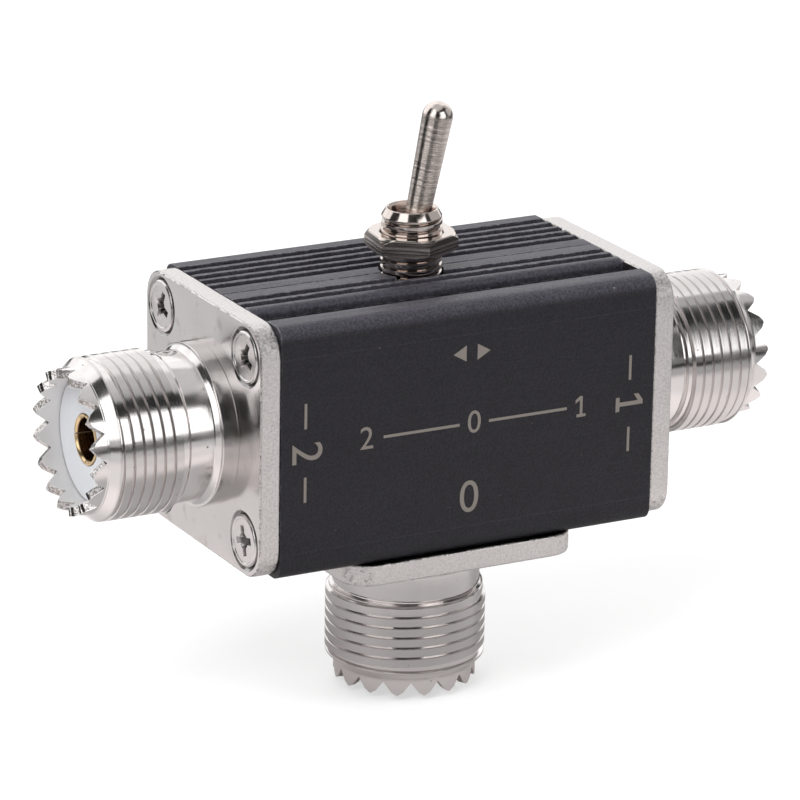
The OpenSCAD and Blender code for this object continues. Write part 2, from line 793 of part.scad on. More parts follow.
// V-shaped rocker with two ears that straddle the common terminal
module rocker_contact() {
    color([0.8, 0.66, 0.4]) at_top() translate([0, 0, rocker_pivot])
        rotate([0, -rocker_angle, 0]) {
            rotate([90, 0, 0]) translate([0, 0, -rocker_w / 2]) linear_extrude(rocker_w)
                polygon([
                    [0, 0],
                    [rocker_arm * cos(rocker_v), rocker_arm * sin(rocker_v)],
                    [rocker_arm * cos(rocker_v) - rocker_t * sin(rocker_v),
                     rocker_arm * sin(rocker_v) + rocker_t * cos(rocker_v)],
                    [0, rocker_t / cos(rocker_v)],
                    [-rocker_arm * cos(rocker_v) + rocker_t * sin(rocker_v),
                     rocker_arm * sin(rocker_v) + rocker_t * cos(rocker_v)],
                    [-rocker_arm * cos(rocker_v), rocker_arm * sin(rocker_v)]]);
            for (side = [-1, 1])
                translate([0, side * (term_w / 2 + ear_gap + ear_t / 2),
                           -ear_drop / 2 + rocker_t / 2])
                    cube([ear_len, ear_t, ear_drop + rocker_t], center = true);
        }
}

// Flat terminal from a height above the base floor down to its lug with an eyelet
module terminal_strip(top) {
    difference() {
        translate([-term_t / 2, -term_w / 2, lug_bottom])
            cube([term_t, term_w, top - lug_bottom]);
        translate([0, 0, eyelet_z]) rotate([0, 90, 0])
            cylinder(r = eyelet_r, h = term_t + 2 * over, center = true, $fn = fn_small);
    }
}

module side_terminal() {
    terminal_strip(pad_top - pad_t / 2);
    translate([-pad_half, -term_w / 2, pad_top - pad_t]) cube([2 * pad_half, term_w, pad_t]);
}

module terminal_1() {
    color([0.82, 0.8, 0.72]) at_top() translate([-term_pitch, 0, 0]) side_terminal();
}

module terminal_2() {
    color([0.82, 0.8, 0.72]) at_top() translate([term_pitch, 0, 0]) side_terminal();
}

module terminal_common() {
    saddle = rocker_pivot - saddle_gap - term_t / 2;
    color([0.82, 0.8, 0.72]) at_top() {
        terminal_strip(saddle);
        translate([0, 0, saddle]) rotate([90, 0, 0])
            cylinder(r = term_t / 2, h = term_w, center = true, $fn = fn_small);
    }
}

// Round wire swept along a row of points, mitred where it bends
wire_sides = 12;

function unit(v) = v / norm(v);

function step_along(points, from, to) = unit(points[to] - points[from]);

function wire_ring(points, place, up) =
    let (last = len(points) - 1,
         before = step_along(points, max(place - 1, 0), max(place, 1)),
         after = step_along(points, min(place, last - 1), min(place + 1, last)),
         along = unit(before + after),
         sideways = unit(cross(along, up)),
         upward = cross(sideways, along),
         bend = norm(after - before) > 0 ? unit(after - before) : [0, 0, 0],
         stretch = 1 / (along * before) - 1)
    [for (side = [0 : wire_sides - 1])
        let (angle = side * 360 / wire_sides,
             spoke = wire_r * (cos(angle) * sideways + sin(angle) * upward))
        points[place] + spoke + bend * (spoke * bend) * stretch];

// Faces of a tube made of rings of points, closed at both ends
function tube_faces(rings, sides) = concat(
    [for (ring = [0 : rings - 2]) for (side = [0 : sides - 1])
        let (here = ring * sides, next = (side + 1) % sides)
        [here + side, here + sides + side, here + sides + next, here + next]],
    [[for (side = [0 : sides - 1]) side],
     [for (side = [sides - 1 : -1 : 0]) (rings - 1) * sides + side]]);

module wire_run(points, up) {
    rings = [for (place = [0 : len(points) - 1]) for (spot = wire_ring(points, place, up)) spot];
    polyhedron(points = rings, faces = tube_faces(len(points), wire_sides));
}

// Wire from the terminal on one side, across the case, to the socket on the other side
module crossing_wire(side) {
    eyelet = case_top + eyelet_z;
    cup = case_len / 2 - cup_end;
    wire_run([
        [-side * (term_pitch + term_t), 0, eyelet],
        [-side * (term_pitch - term_t - wire_r), 0, eyelet],
        [-side * (term_pitch - term_t - 2 * wire_r), -side * wire_y, eyelet],
        [side * (term_pitch + term_t), -side * wire_y, eyelet],
        [side * (cup - 3 * wire_r), 0, axis_z],
        [side * (cup + wire_in_cup), 0, axis_z]], [0, 0, 1]);
}

module wire_1() {
    color([0.75, 0.45, 0.3]) crossing_wire(1);
}

module wire_2() {
    color([0.75, 0.45, 0.3]) crossing_wire(-1);
}

module wire_common() {
    eyelet = case_top + eyelet_z;
    cup = case_bottom + cup_end;
    side_step = term_t / 2 + 2 * wire_r;
    color([0.75, 0.45, 0.3]) wire_run([
        [-side_step, 0, eyelet],
        [side_step, 0, eyelet],
        [side_step, 0, cup + 2 * wire_r],
        [0, 0, cup],
        [0, 0, cup - wire_in_cup]], [0, 1, 0]);
}

front_shell();
rear_shell();
port_1_socket();
port_2_socket();
common_socket();
port_1_insulator();
port_2_insulator();
common_insulator();
port_1_contact();
port_2_contact();
common_contact();
port_1_screws();
port_2_screws();
common_screws();
switch_bushing();
switch_nut();
lock_washer();
switch_frame();
switch_base();
toggle_lever();
pivot_pin();
plunger();
plunger_spring();
rocker_contact();
terminal_1();
terminal_2();
terminal_common();
wire_1();
wire_2();
wire_common();
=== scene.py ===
"""Looks of the coaxial antenna switch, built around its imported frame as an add-on that is run as a script."""

import bmesh
import bpy
import json
import math
from bpy.props import FloatProperty, FloatVectorProperty, IntProperty, PointerProperty
from mathutils import Matrix, Vector, noise


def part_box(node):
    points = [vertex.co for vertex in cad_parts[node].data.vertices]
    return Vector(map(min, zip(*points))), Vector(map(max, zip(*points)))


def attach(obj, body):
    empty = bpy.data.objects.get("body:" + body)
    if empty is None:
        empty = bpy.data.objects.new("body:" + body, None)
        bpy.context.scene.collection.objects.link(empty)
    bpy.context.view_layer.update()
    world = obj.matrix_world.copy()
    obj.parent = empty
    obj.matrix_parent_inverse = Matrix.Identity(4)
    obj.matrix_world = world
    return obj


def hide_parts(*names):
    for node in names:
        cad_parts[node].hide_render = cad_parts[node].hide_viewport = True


bl_info = {
    "name": "Coaxial antenna switch",
    "version": (1, 0, 0),
    "blender": (4, 5, 0),
    "location": "3D View > Sidebar > Switch",
    "description": "Builds the coaxial antenna switch around its frame",
    "category": "Object",
}

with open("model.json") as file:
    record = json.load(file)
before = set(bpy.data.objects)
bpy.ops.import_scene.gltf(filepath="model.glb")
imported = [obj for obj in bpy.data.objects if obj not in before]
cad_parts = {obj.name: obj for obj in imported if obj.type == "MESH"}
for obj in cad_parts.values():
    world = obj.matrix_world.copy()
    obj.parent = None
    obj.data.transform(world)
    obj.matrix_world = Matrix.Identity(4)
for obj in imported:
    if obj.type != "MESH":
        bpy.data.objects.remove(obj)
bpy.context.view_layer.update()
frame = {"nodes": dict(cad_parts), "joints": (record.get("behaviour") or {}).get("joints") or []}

# Shapes are drawn in millimetres, about their own axis, and then set in place
MM = 0.001
OWN_MM = Matrix.Scale(MM, 4)
FULL_TURN = 2 * math.pi
QUARTER_TURN = math.pi / 2

# Places that every piece is set against, taken from the frame
CASE_HALF, _, CASE_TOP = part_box("rear_shell")[1]
_, CASE_FRONT, CASE_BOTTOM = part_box("front_shell")[0]
SOCKET_LOW, SOCKET_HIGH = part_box("port_1_socket")
FLANGE_HALF = (SOCKET_HIGH.z - SOCKET_LOW.z) / 2
AXIS_HEIGHT = (SOCKET_LOW.z + SOCKET_HIGH.z) / 2
LEVER_JOINT = next(joint for joint in frame["joints"] if joint["child"] == "lever")
PIVOT = Vector(LEVER_JOINT["pos_m"])


def station(place, axis):
    """Matrix that sets a shape drawn along +z, in millimetres, at a place with its z along axis."""
    turn = {
        "+x": Matrix.Rotation(QUARTER_TURN, 4, "Y"),
        "-x": Matrix.Rotation(-QUARTER_TURN, 4, "Y"),
        "-z": Matrix.Rotation(math.pi, 4, "X"),
        "+z": Matrix.Identity(4),
    }[axis]
    return Matrix.Translation(place) @ turn @ OWN_MM


PORTS = {
    "port_1": station((CASE_HALF, 0, AXIS_HEIGHT), "+x"),
    "port_2": station((-CASE_HALF, 0, AXIS_HEIGHT), "-x"),
    "common": station((0, 0, CASE_BOTTOM), "-z"),
}
TOP = station((0, 0, CASE_TOP), "+z")


def in_mm(value):
    return value / MM


# Heights of the nut's faces above the case, in millimetres
NUT_LOW, NUT_HIGH = (in_mm(corner.z - CASE_TOP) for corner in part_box("switch_nut"))


# ---------------------------------------------------------------- settings

def length(name, description, millimetres):
    return FloatProperty(name=name, description=description, default=millimetres * MM,
                         min=0, precision=5, unit="LENGTH")


def angle(name, description, degrees):
    return FloatProperty(name=name, description=description, default=math.radians(degrees),
                         subtype="ANGLE")


def colour(name, description, values):
    return FloatVectorProperty(name=name, description=description, default=values,
                               size=3, min=0, max=1, subtype="COLOR")


class SocketSettings(bpy.types.PropertyGroup):
    flange_t: length("Flange thickness", "Thickness of the square flange", 2.1)
    flange_corner: length("Flange corner", "Radius of the flange corners", 3)
    screw_edge: length("Screw edge", "Distance of the screws from the flange edges", 3.4)
    sink_r: length("Countersink", "Radius of the countersinks", 2.95)
    boss_r: length("Boss radius", "Radius of the boss on the flange", 8)
    boss_len: length("Boss length", "Length of the boss", 1.7)
    neck_r: length("Neck radius", "Radius of the neck behind the thread", 7.3)
    neck_end: length("Neck end", "Distance of the end of the neck from the flange", 4.75)
    thread_r: length("Thread radius", "Outer radius of the thread", 7.93)
    thread_pitch: length("Thread pitch", "Pitch of the thread", 1.058)
    thread_turns: FloatProperty(name="Thread turns", description="Turns of the thread",
                                default=7, min=1, max=12)
    crown_r: length("Crown radius", "Outer radius of the crown", 7.05)
    bore_r: length("Bore", "Radius of the bore", 6.1)
    teeth: IntProperty(name="Teeth", description="Number of teeth of the crown",
                       default=16, min=8, max=24)
    notch_d: length("Notch depth", "Depth of the notches between the teeth", 1.4)
    total_len: length("Length", "Distance of the crown tips from the flange", 14.6)


class ToggleSettings(bpy.types.PropertyGroup):
    bushing_h: length("Bushing height", "Height of the bushing above the case", 6.2)
    bushing_r: length("Bushing radius", "Outer radius of the bushing thread", 3)
    bushing_pitch: length("Bushing pitch", "Pitch of the bushing thread", 0.75)
    nut_af: length("Nut width", "Width of the nut across its flats", 8)
    nut_turn: angle("Nut turn", "Turn of the nut on its thread", 24)
    lever_angle: angle("Lever angle", "Lean of the lever from upright", 11.7)
    lever_r: length("Lever radius", "Radius of the lever at the bushing", 1.25)
    tip_r: length("Tip radius", "Radius of the lever's ball end", 1.5)
    lever_len: length("Lever length", "Pivot to the middle of the ball end", 12.9)


class FinishSettings(bpy.types.PropertyGroup):
    anodised: colour("Anodised black", "Colour of the case", (0.0105, 0.01, 0.0125))
    nickel: colour("Nickel", "Colour of the sockets", (0.68, 0.655, 0.646))
    warm_nickel: colour("Warm nickel", "Colour of the bushing, nut and lever", (0.6, 0.535, 0.5))
    insulator: colour("Insulator", "Colour of the insulators", (0.76, 0.77, 0.81))
    gilt: colour("Gilt", "Colour of the centre contacts", (0.88, 0.66, 0.38))
    mark: colour("Marks", "Colour of the printed marks", (0.21, 0.185, 0.165))
    floor: colour("Floor", "Colour of the floor", (0.9, 0.9, 0.9))


# ---------------------------------------------------------------- node trees

class Graph:
    """A node tree that is filled with one call for each node."""

    def __init__(self, tree):
        self.tree = tree

    def add(self, kind, values=None, **settings):
        made = self.tree.nodes.new(kind)
        for name, value in settings.items():
            setattr(made, name, value)
        for name, value in (values or {}).items():
            self.feed(made.inputs[name], value)
        return made

    def feed(self, socket, value):
        """Links a socket, or sets it: a colour is given by its red, green and blue."""
        if isinstance(value, bpy.types.NodeSocket):
            self.tree.links.new(value, socket)
        else:
            socket.default_value = (*value, 1.0) if socket.type == "RGBA" else value

    def math(self, operation, *values):
        return self.add("ShaderNodeMath", dict(enumerate(values)), operation=operation).outputs[0]

    def plus(self, first, second):
        return self.math("ADD", first, second)

    def minus(self, first, second):
        return self.math("SUBTRACT", first, second)

    def times(self, first, second, plus=0.0):
        return self.math("MULTIPLY_ADD", first, second, plus)

    def most(self, first, second):
        return self.math("MAXIMUM", first, second)

    def vector(self, operation, *values):
        made = self.add("ShaderNodeVectorMath", dict(enumerate(values)), operation=operation)
        return made.outputs["Value" if operation in ("LENGTH", "DISTANCE", "DOT_PRODUCT") else "Vector"]

    def scaled(self, vector, share):
        made = self.add("ShaderNodeVectorMath", {0: vector, "Scale": share}, operation="SCALE")
        return made.outputs["Vector"]

    def split(self, vector):
        return self.add("ShaderNodeSeparateXYZ", {"Vector": vector}).outputs

    def point(self, x=0.0, y=0.0, z=0.0):
        return self.add("ShaderNodeCombineXYZ", {"X": x, "Y": y, "Z": z}).outputs["Vector"]

    def flattened(self, place):
        """The same place with no height, whose length is the distance from the z axis."""
        parts = self.split(place)
        return self.point(parts["X"], parts["Y"])

    def noise(self, place, scale, detail=2.0, roughness=0.5):
        return self.add("ShaderNodeTexNoise", {
            "Vector": place, "Scale": scale, "Detail": detail, "Roughness": roughness}).outputs["Fac"]

    def ramp(self, value, low, high, start=0.0, end=1.0):
        """Soft step from start, where the value is low, to end, where it is high."""
        return self.add("ShaderNodeMapRange", {
            "Value": value, "From Min": low, "From Max": high, "To Min": start, "To Max": end,
        }, interpolation_type="SMOOTHSTEP").outputs["Result"]

    def blend(self, factor, first, second):
        return self.add("ShaderNodeMix", {0: factor, 6: first, 7: second}, data_type="RGBA").outputs[2]


FLOAT = "NodeSocketFloat"
VECTOR = "NodeSocketVector"
GEOMETRY = "NodeSocketGeometry"
MATERIAL = "NodeSocketMaterial"


def new_group(name, kind, inputs, outputs):
    """Node group: its Graph, its inputs and its outputs. An input is a number or a type of socket."""
    tree = bpy.data.node_groups.new(name, kind)
    for label, given in inputs.items():
        typed = isinstance(given, str)
        made = tree.interface.new_socket(
            name=label, in_out="INPUT", socket_type=given if typed else FLOAT)
        if not typed:
            made.default_value = given
    for label, socket_type in outputs.items():
        tree.interface.new_socket(name=label, in_out="OUTPUT", socket_type=socket_type)
    graph = Graph(tree)
    return graph, graph.add("NodeGroupInput").outputs, graph.add("NodeGroupOutput").inputs


def surface_group(name, inputs, outputs):
    """Effect on a surface, worked out from a place in millimetres."""
    return new_group(name, "ShaderNodeTree", {"Place": VECTOR, **inputs},
                     {label: FLOAT for label in outputs})


def make_grain_group():
    """Fine even grain, with a broad mottle under it."""
    graph, given, result = surface_group(
        "fine_grain", {"Scale": 8.0, "Mottle Scale": 0.4}, ["Grain", "Mottle"])
    graph.feed(result["Grain"], graph.noise(given["Place"], given["Scale"], 3.0, 0.6))
    graph.feed(result["Mottle"], graph.noise(given["Place"], given["Mottle Scale"]))


def make_specks_group():
    """Sparse small dots with a ragged edge, each of its own size, as pits or dirt."""
    graph, given, result = surface_group(
        "sparse_specks", {"Scale": 2.0, "Share": 0.3, "Size": 0.2}, ["Mask"])
    cells = graph.add("ShaderNodeTexVoronoi", {
        "Vector": given["Place"], "Scale": given["Scale"]}).outputs
    chance = graph.add("ShaderNodeSeparateColor", {"Color": cells["Color"]}).outputs
    chosen = graph.math("LESS_THAN", chance["Red"], given["Share"])
    size = graph.times(chance["Green"], given["Size"])
    ragged = 0.12
    reach = graph.times(graph.noise(given["Place"], 9.0), ragged, cells["Distance"])
    inside = graph.minus(size, graph.minus(reach, ragged / 2))
    graph.feed(result["Mask"], graph.times(graph.ramp(inside, 0.0, 0.05), chosen))


def make_turning_group():
    """Rings that a lathe leaves about the z axis, on walls and on faces alike."""
    graph, given, result = surface_group("turning_rings", {"Scale": 10.0, "Wander": 0.02}, ["Rings"])
    place = given["Place"]
    radius = graph.vector("LENGTH", graph.flattened(place))
    height = graph.times(graph.noise(place, 0.5), given["Wander"], graph.split(place)["Z"])
    rings = graph.noise(graph.point(x=radius, z=height), given["Scale"], 4.0, 0.7)
    graph.feed(result["Rings"], rings)


def make_wear_group():
    """Mask of sharp edges, where the finish is worn through here and there."""
    graph, given, result = surface_group("edge_wear", {"Width": 0.0002, "Breakup": 3.0}, ["Mask"])
    rounded = graph.add("ShaderNodeBevel", {"Radius": given["Width"]}, samples=4).outputs["Normal"]
    face = graph.add("ShaderNodeNewGeometry").outputs["Normal"]
    sharp = graph.ramp(graph.vector("DOT_PRODUCT", rounded, face), 0.995, 0.9)
    here = graph.ramp(graph.noise(given["Place"], given["Breakup"], 4.0), 0.35, 0.65)
    graph.feed(result["Mask"], graph.times(sharp, here))


# ---------------------------------------------------------------- finishes

def darker(values, share):
    return tuple(value * share for value in values)


class Finish(Graph):
    """A material's graph, with its shader and the piece's own place in millimetres."""

    def __init__(self, name, metallic=0.0):
        self.material = bpy.data.materials.new(name)
        self.material.use_nodes = True
        super().__init__(self.material.node_tree)
        self.shader = self.tree.nodes["Principled BSDF"]
        self.set("Metallic", metallic)
        self.place = self.add("ShaderNodeAttribute", attribute_name="place_mm").outputs["Vector"]

    def set(self, name, value):
        self.feed(self.shader.inputs[name], value)

    def group(self, name, values):
        made = self.add("ShaderNodeGroup", node_tree=bpy.data.node_groups[name])
        for key, value in {"Place": self.place, **values}.items():
            self.feed(made.inputs[key], value)
        return made.outputs

    def grain(self, scale, mottle_scale):
        made = self.group("fine_grain", {"Scale": scale, "Mottle Scale": mottle_scale})
        return made["Grain"], made["Mottle"]

    def rings(self, scale, wander=0.05, along=(1.0, 1.0, 1.0)):
        return self.group("turning_rings", {
            "Place": self.stretched(along), "Scale": scale, "Wander": wander})["Rings"]

    def specks(self, scale, share, size):
        return self.group("sparse_specks", {"Scale": scale, "Share": share, "Size": size})["Mask"]

    def stretched(self, shares):
        """The place drawn out along the axes whose shares are small."""
        return self.add("ShaderNodeMapping", {
            "Vector": self.place, "Scale": shares}).outputs["Vector"]

    def radius(self):
        return self.vector("LENGTH", self.flattened(self.place))

    def height(self):
        return self.split(self.place)["Z"]

    def tones(self, mask, values, low, high):
        """The colour at two strengths, mixed by a mask."""
        return self.blend(mask, darker(values, low), darker(values, high))

    def spread(self, value, low, high):
        """A noise, which mostly lies between 0.3 and 0.7, spread from low to high."""
        return self.ramp(value, 0.3, 0.7, low, high)

    def done(self, base, rough, relief, depth):
        """The material, once it has its colour, its roughness and a relief of a depth in millimetres."""
        self.set("Base Color", base)
        self.set("Roughness", rough)
        self.set("Normal", self.add("ShaderNodeBump", {
            "Height": relief, "Distance": depth * MM, "Strength": 1.0}).outputs["Normal"])
        return self.material


# Heights, in millimetres, of two faint lines that drawing left along the case
DRAWN_LINES = (19.3, 38.6)


def anodised_black(name, values):
    """Satin black anodising with faint lines of the extrusion, worn edges and a painted sheen that makes the
    top paler.
    """
    finish = Finish(name)
    grain, mottle = finish.grain(4.5, 0.15)
    lines = finish.noise(finish.stretched((0.02, 1.0, 1.0)), 3.0, 5.0, 0.65)
    worn = finish.group("edge_wear", {"Width": 0.22 * MM, "Breakup": 1.3})["Mask"]
    dust = finish.specks(0.9, 0.12, 0.09)
    base = finish.tones(mottle, values, 0.8, 1.25)
    base = finish.blend(finish.times(worn, 0.35), base, (0.16, 0.16, 0.17))
    base = finish.blend(finish.times(dust, 0.5), base, (0.2, 0.2, 0.2))
    height = finish.height()
    for line_height in DRAWN_LINES:
        away = finish.math("ABSOLUTE", finish.minus(height, line_height))
        base = finish.blend(finish.ramp(away, 0.02, 0.1, 0.3, 0.0), base, darker(values, 3.0))
    case_top = in_mm(CASE_TOP)
    # Painted sheen: the top and the round of the front edge are painted up to 3.6 times paler, as light falls
    # on them
    painted_top_sheen = finish.ramp(height, case_top - 1.6, case_top - 0.4, 1.0, 3.6)
    grainy = finish.ramp(grain, 0.35, 0.65, 0.65, 1.4)
    base = finish.scaled(base, finish.times(painted_top_sheen, grainy))
    finish.set("Specular IOR Level", 0.36)
    finish.set("Specular Tint", (0.95, 0.92, 1.0))
    return finish.done(base, finish.spread(lines, 0.4, 0.5), finish.times(lines, 0.6, grain), 0.06)


# A height, in millimetres, above every piece
NEVER = 99.0


def plated_nickel(name, values, rough, ring_scale, ring_depth, pits=0.0, polished=NEVER,
                  line_tone=1.0, along=(1.0, 1.0, 1.0), grit=0.25, bore_r=0.0, shaded=None):
    """Bright plating over turned brass: pits, and rings of the lathe up to the polished height.

    The rings are drawn out by the shares along, and line_tone darkens them. The metal is matt
    inside bore_r. The function shaded adds the tones of the piece's own parts.
    """
    finish = Finish(name, metallic=1.0)
    grain, mottle = finish.grain(5.0, 0.35)
    rings = finish.rings(ring_scale, along=along)
    pitted = finish.specks(1.1, pits, 0.12)
    worked = finish.ramp(finish.height(), polished - 0.15, polished + 0.15, 1.0, 0.0)
    lines = finish.most(finish.ramp(rings, 0.38, 0.6, line_tone, 1.0), finish.minus(1.0, worked))
    base = finish.scaled(finish.tones(mottle, values, 0.93, 1.0), lines)
    if shaded:
        base = shaded(finish, base, grain)
    base = finish.blend(pitted, base, (0.08, 0.07, 0.06))
    uneven = finish.times(finish.spread(mottle, rough * 0.75, rough * 1.3),
                          finish.ramp(worked, 0.0, 1.0, 0.45, 1.0))
    inside = finish.ramp(finish.radius(), bore_r, bore_r + 0.06, 0.55, 0.0)
    relief = finish.times(rings, finish.times(worked, ring_depth))
    relief = finish.minus(finish.times(grain, grit, relief), finish.times(pitted, 3.0))
    return finish.done(base, finish.most(uneven, inside), relief, 0.006)


def socket_tones(finish, base, grain):
    """Stained foot, painted highlight in the grooves, painted shade in the countersinks, pale bore and gritty
    flanks of the teeth.
    """
    sizes = bpy.context.scene.socket_settings
    thick, bore, crown = in_mm(sizes.flange_t), in_mm(sizes.bore_r), in_mm(sizes.crown_r)
    crest, sink = in_mm(sizes.thread_r), in_mm(sizes.sink_r)
    screw = in_mm(FLANGE_HALF - sizes.screw_edge)
    teeth_foot = in_mm(sizes.flange_t + sizes.total_len - sizes.notch_d) - 0.05
    radius, height = finish.radius(), finish.height()
    foot = finish.ramp(height, thick - 0.2, thick + 2.5, 1.0, 0.0)
    patch = finish.ramp(finish.noise(finish.place, 0.45, 5.0), 0.56, 0.72)
    stain = finish.times(finish.times(foot, patch), 0.5)
    base = finish.blend(stain, base, (0.42, 0.37, 0.32))
    # Painted highlight: the thread's grooves are painted up to a fifth paler
    base = finish.scaled(base, finish.ramp(radius, crest - 0.23, crest - 0.06, 1.2, 1.0))
    # Painted shade: the countersinks round the screws are painted half as bright
    folded = finish.vector("ABSOLUTE", finish.flattened(finish.place))
    from_screw = finish.vector("DISTANCE", folded, Vector((screw, screw, 0)))
    base = finish.scaled(base, finish.ramp(from_screw, sink - 0.05, sink + 0.05, 0.5, 1.0))
    inside = finish.ramp(radius, bore + 0.03, bore + 0.09, 1.0, 0.0)
    base = finish.blend(inside, base, (0.92, 0.91, 0.9))
    flank = finish.times(finish.ramp(radius, bore + 0.04, bore + 0.1),
                         finish.ramp(radius, crown - 0.1, crown - 0.04, 1.0, 0.0))
    flank = finish.times(flank, finish.ramp(height, teeth_foot, teeth_foot + 0.15))
    patchy = finish.ramp(grain, 0.42, 0.58, 0.25, 0.85)
    return finish.blend(finish.times(flank, patchy), base, (0.16, 0.15, 0.14))


def screw_tones(finish, base, grain):
    """Painted shade: darker with depth below the face of the head, in the cross recess and on the head's cone.
    """
    flange = in_mm(bpy.context.scene.socket_settings.flange_t)
    # Painted shade, down to 0.3 of the colour below the head's face
    return finish.scaled(base, finish.ramp(finish.height(), flange - 0.4, flange - 0.1, 0.3, 1.0))


def bushing_tones(finish, base, grain):
    """Painted shade in the grooves of the thread, below the plain rim."""
    sizes = bpy.context.scene.toggle_settings
    outer, top = in_mm(sizes.bushing_r), in_mm(sizes.bushing_h)
    # Painted shade: the grooves are painted down to 0.6 of the colour
    grooves = finish.ramp(finish.radius(), outer - 0.4, outer - 0.1, 0.6, 1.0)
    rim = finish.ramp(finish.height(), top - 1.1, top - 1.0)
    return finish.scaled(base, finish.most(grooves, rim))


def sandy_nickel(name, values, thick):
    """Plating over a rough sawn edge: pebbled, with broken dark rims and chipped corners."""
    finish = Finish(name, metallic=1.0)
    grain = finish.grain(4.5, 1.2)[0]
    crumbs = finish.noise(finish.place, 2.4, 4.0)
    corner = finish.ramp(finish.radius(), 15.9, 16.3)
    from_middle = finish.math("ABSOLUTE", finish.minus(finish.height(), thick / 2))
    rim = finish.ramp(from_middle, thick / 2 - 0.22, thick / 2 - 0.08)
    broken_rim = finish.times(finish.times(rim, finish.ramp(grain, 0.5, 0.58)), 0.8)
    marred = finish.most(finish.times(finish.specks(3.4, 0.4, 0.3), 0.55), broken_rim)
    chips = finish.times(corner, finish.ramp(crumbs, 0.55, 0.6))
    marred = finish.most(marred, finish.times(chips, 0.4))
    base = finish.tones(finish.spread(grain, 0.0, 1.0), values, 0.92, 1.22)
    base = finish.blend(marred, base, (0.16, 0.14, 0.13))
    relief = finish.times(finish.times(crumbs, corner), 5.0, grain)
    return finish.done(base, finish.spread(grain, 0.34, 0.6), relief, 0.035)


def white_plastic(name, values):
    """Smooth white plastic with a bluish tint and turning marks."""
    finish = Finish(name)
    rings = finish.rings(6.0, 0.03)
    base = finish.tones(finish.grain(6.0, 0.5)[1], values, 0.96, 1.0)
    finish.set("Subsurface Weight", 0.15)
    finish.set("Subsurface Radius", (0.001, 0.001, 0.001))
    return finish.done(base, finish.spread(rings, 0.3, 0.45), rings, 0.01)


def gilt_brass(name, values, bore_r):
    """Thin gilding, dark brown inside the bore."""
    finish = Finish(name, metallic=1.0)
    rings = finish.rings(8.0)
    inside = finish.ramp(finish.radius(), bore_r - 0.05, bore_r + 0.12, 1.0, 0.0)
    base = finish.tones(finish.grain(6.0, 0.8)[1], values, 0.85, 1.0)
    base = finish.blend(finish.times(inside, 0.95), base, (0.13, 0.055, 0.03))
    return finish.done(base, finish.spread(rings, 0.16, 0.3), rings, 0.008)


def worked_metal(name, values, rough, shares):
    """Rolled or drawn metal with fine lines along the axis whose share is small."""
    finish = Finish(name, metallic=1.0)
    lines = finish.noise(finish.stretched(shares), 6.0, 4.0)
    grain, mottle = finish.grain(8.0, 0.6)
    base = finish.tones(mottle, values, 0.78, 1.0)
    return finish.done(base, finish.spread(lines, rough * 0.8, rough * 1.25),
                       finish.times(lines, 2.0, grain), 0.006)


def moulded_plastic(name, values, rough):
    """Moulded plastic with a faint flow pattern and grain."""
    finish = Finish(name)
    grain, mottle = finish.grain(6.0, 0.7)
    base = finish.tones(mottle, values, 0.7, 1.0)
    return finish.done(base, finish.spread(grain, rough * 0.85, rough * 1.2), grain, 0.015)


def printed_mark(name, values):
    """Thin flat print, slightly uneven."""
    finish = Finish(name)
    grain, mottle = finish.grain(7.0, 1.0)
    base = finish.tones(grain, values, 0.8, 1.15)
    return finish.done(base, finish.spread(mottle, 0.45, 0.6), grain, 0.008)


# Radius of the centre contacts' bore, in millimetres
CONTACT_BORE = 2.05

# Shares that draw a pattern out along one axis
ALONG_X = (0.05, 1.0, 1.0)
ALONG_Z = (1.0, 1.0, 0.05)

# Colour, roughness and direction of the lines of each worked metal
WORKED_METALS = {
    "sheet_steel": ((0.62, 0.62, 0.61), 0.32, ALONG_Z),
    "spring_steel": ((0.6, 0.6, 0.6), 0.25, ALONG_Z),
    "contact_alloy": ((0.78, 0.58, 0.33), 0.28, ALONG_X),
    "tinned_terminal": ((0.74, 0.73, 0.70), 0.34, ALONG_Z),
    "copper_wire": ((0.78, 0.42, 0.26), 0.25, ALONG_X),
}

# Colour and roughness of each plastic inside the switch
MOULDED_PLASTICS = {
    "moulded_base": ((0.26, 0.03, 0.025), 0.42),
    "nylon": ((0.78, 0.77, 0.7), 0.4),
}


def build_materials(scene):
    """All finishes by the name of their slot."""
    make_grain_group()
    make_specks_group()
    make_turning_group()
    make_wear_group()
    colours, sizes, toggle = scene.finish_settings, scene.socket_settings, scene.toggle_settings
    nickel, warm = colours.nickel, colours.warm_nickel
    return {
        "anodised_case": anodised_black("anodised_case", colours.anodised),
        "nickel_socket": plated_nickel("nickel_socket", nickel, 0.15, 5.0, 1.0, pits=0.4,
                                       bore_r=in_mm(sizes.bore_r) + 0.03, shaded=socket_tones),
        "sandy_edge": sandy_nickel("sandy_edge", nickel, in_mm(sizes.flange_t)),
        "white_insulator": white_plastic("white_insulator", colours.insulator),
        "gilt_contact": gilt_brass("gilt_contact", colours.gilt, CONTACT_BORE),
        "screw_steel": plated_nickel("screw_steel", darker(nickel, 1.05), 0.2, 9.0, 1.2,
                                     shaded=screw_tones),
        "nickel_bushing": plated_nickel("nickel_bushing", darker(warm, 1.12), 0.1, 7.0, 0.7,
                                        shaded=bushing_tones),
        "nickel_nut": plated_nickel("nickel_nut", darker(warm, 1.3), 0.2, 4.0, 5.0,
                                    line_tone=0.2, along=(0.05, 0.05, 1.0), polished=NUT_HIGH - 0.1),
        "nickel_lever": plated_nickel("nickel_lever", darker(warm, 1.28), 0.19, 5.0, 7.0,
                                      line_tone=0.7, grit=3.0,
                                      polished=in_mm(toggle.lever_len) + 0.2),
        "printed_mark": printed_mark("printed_mark", colours.mark),
        **{name: worked_metal(name, *values) for name, values in WORKED_METALS.items()},
        **{name: moulded_plastic(name, *values) for name, values in MOULDED_PLASTICS.items()},
    }


# ---------------------------------------------------------------- shapes

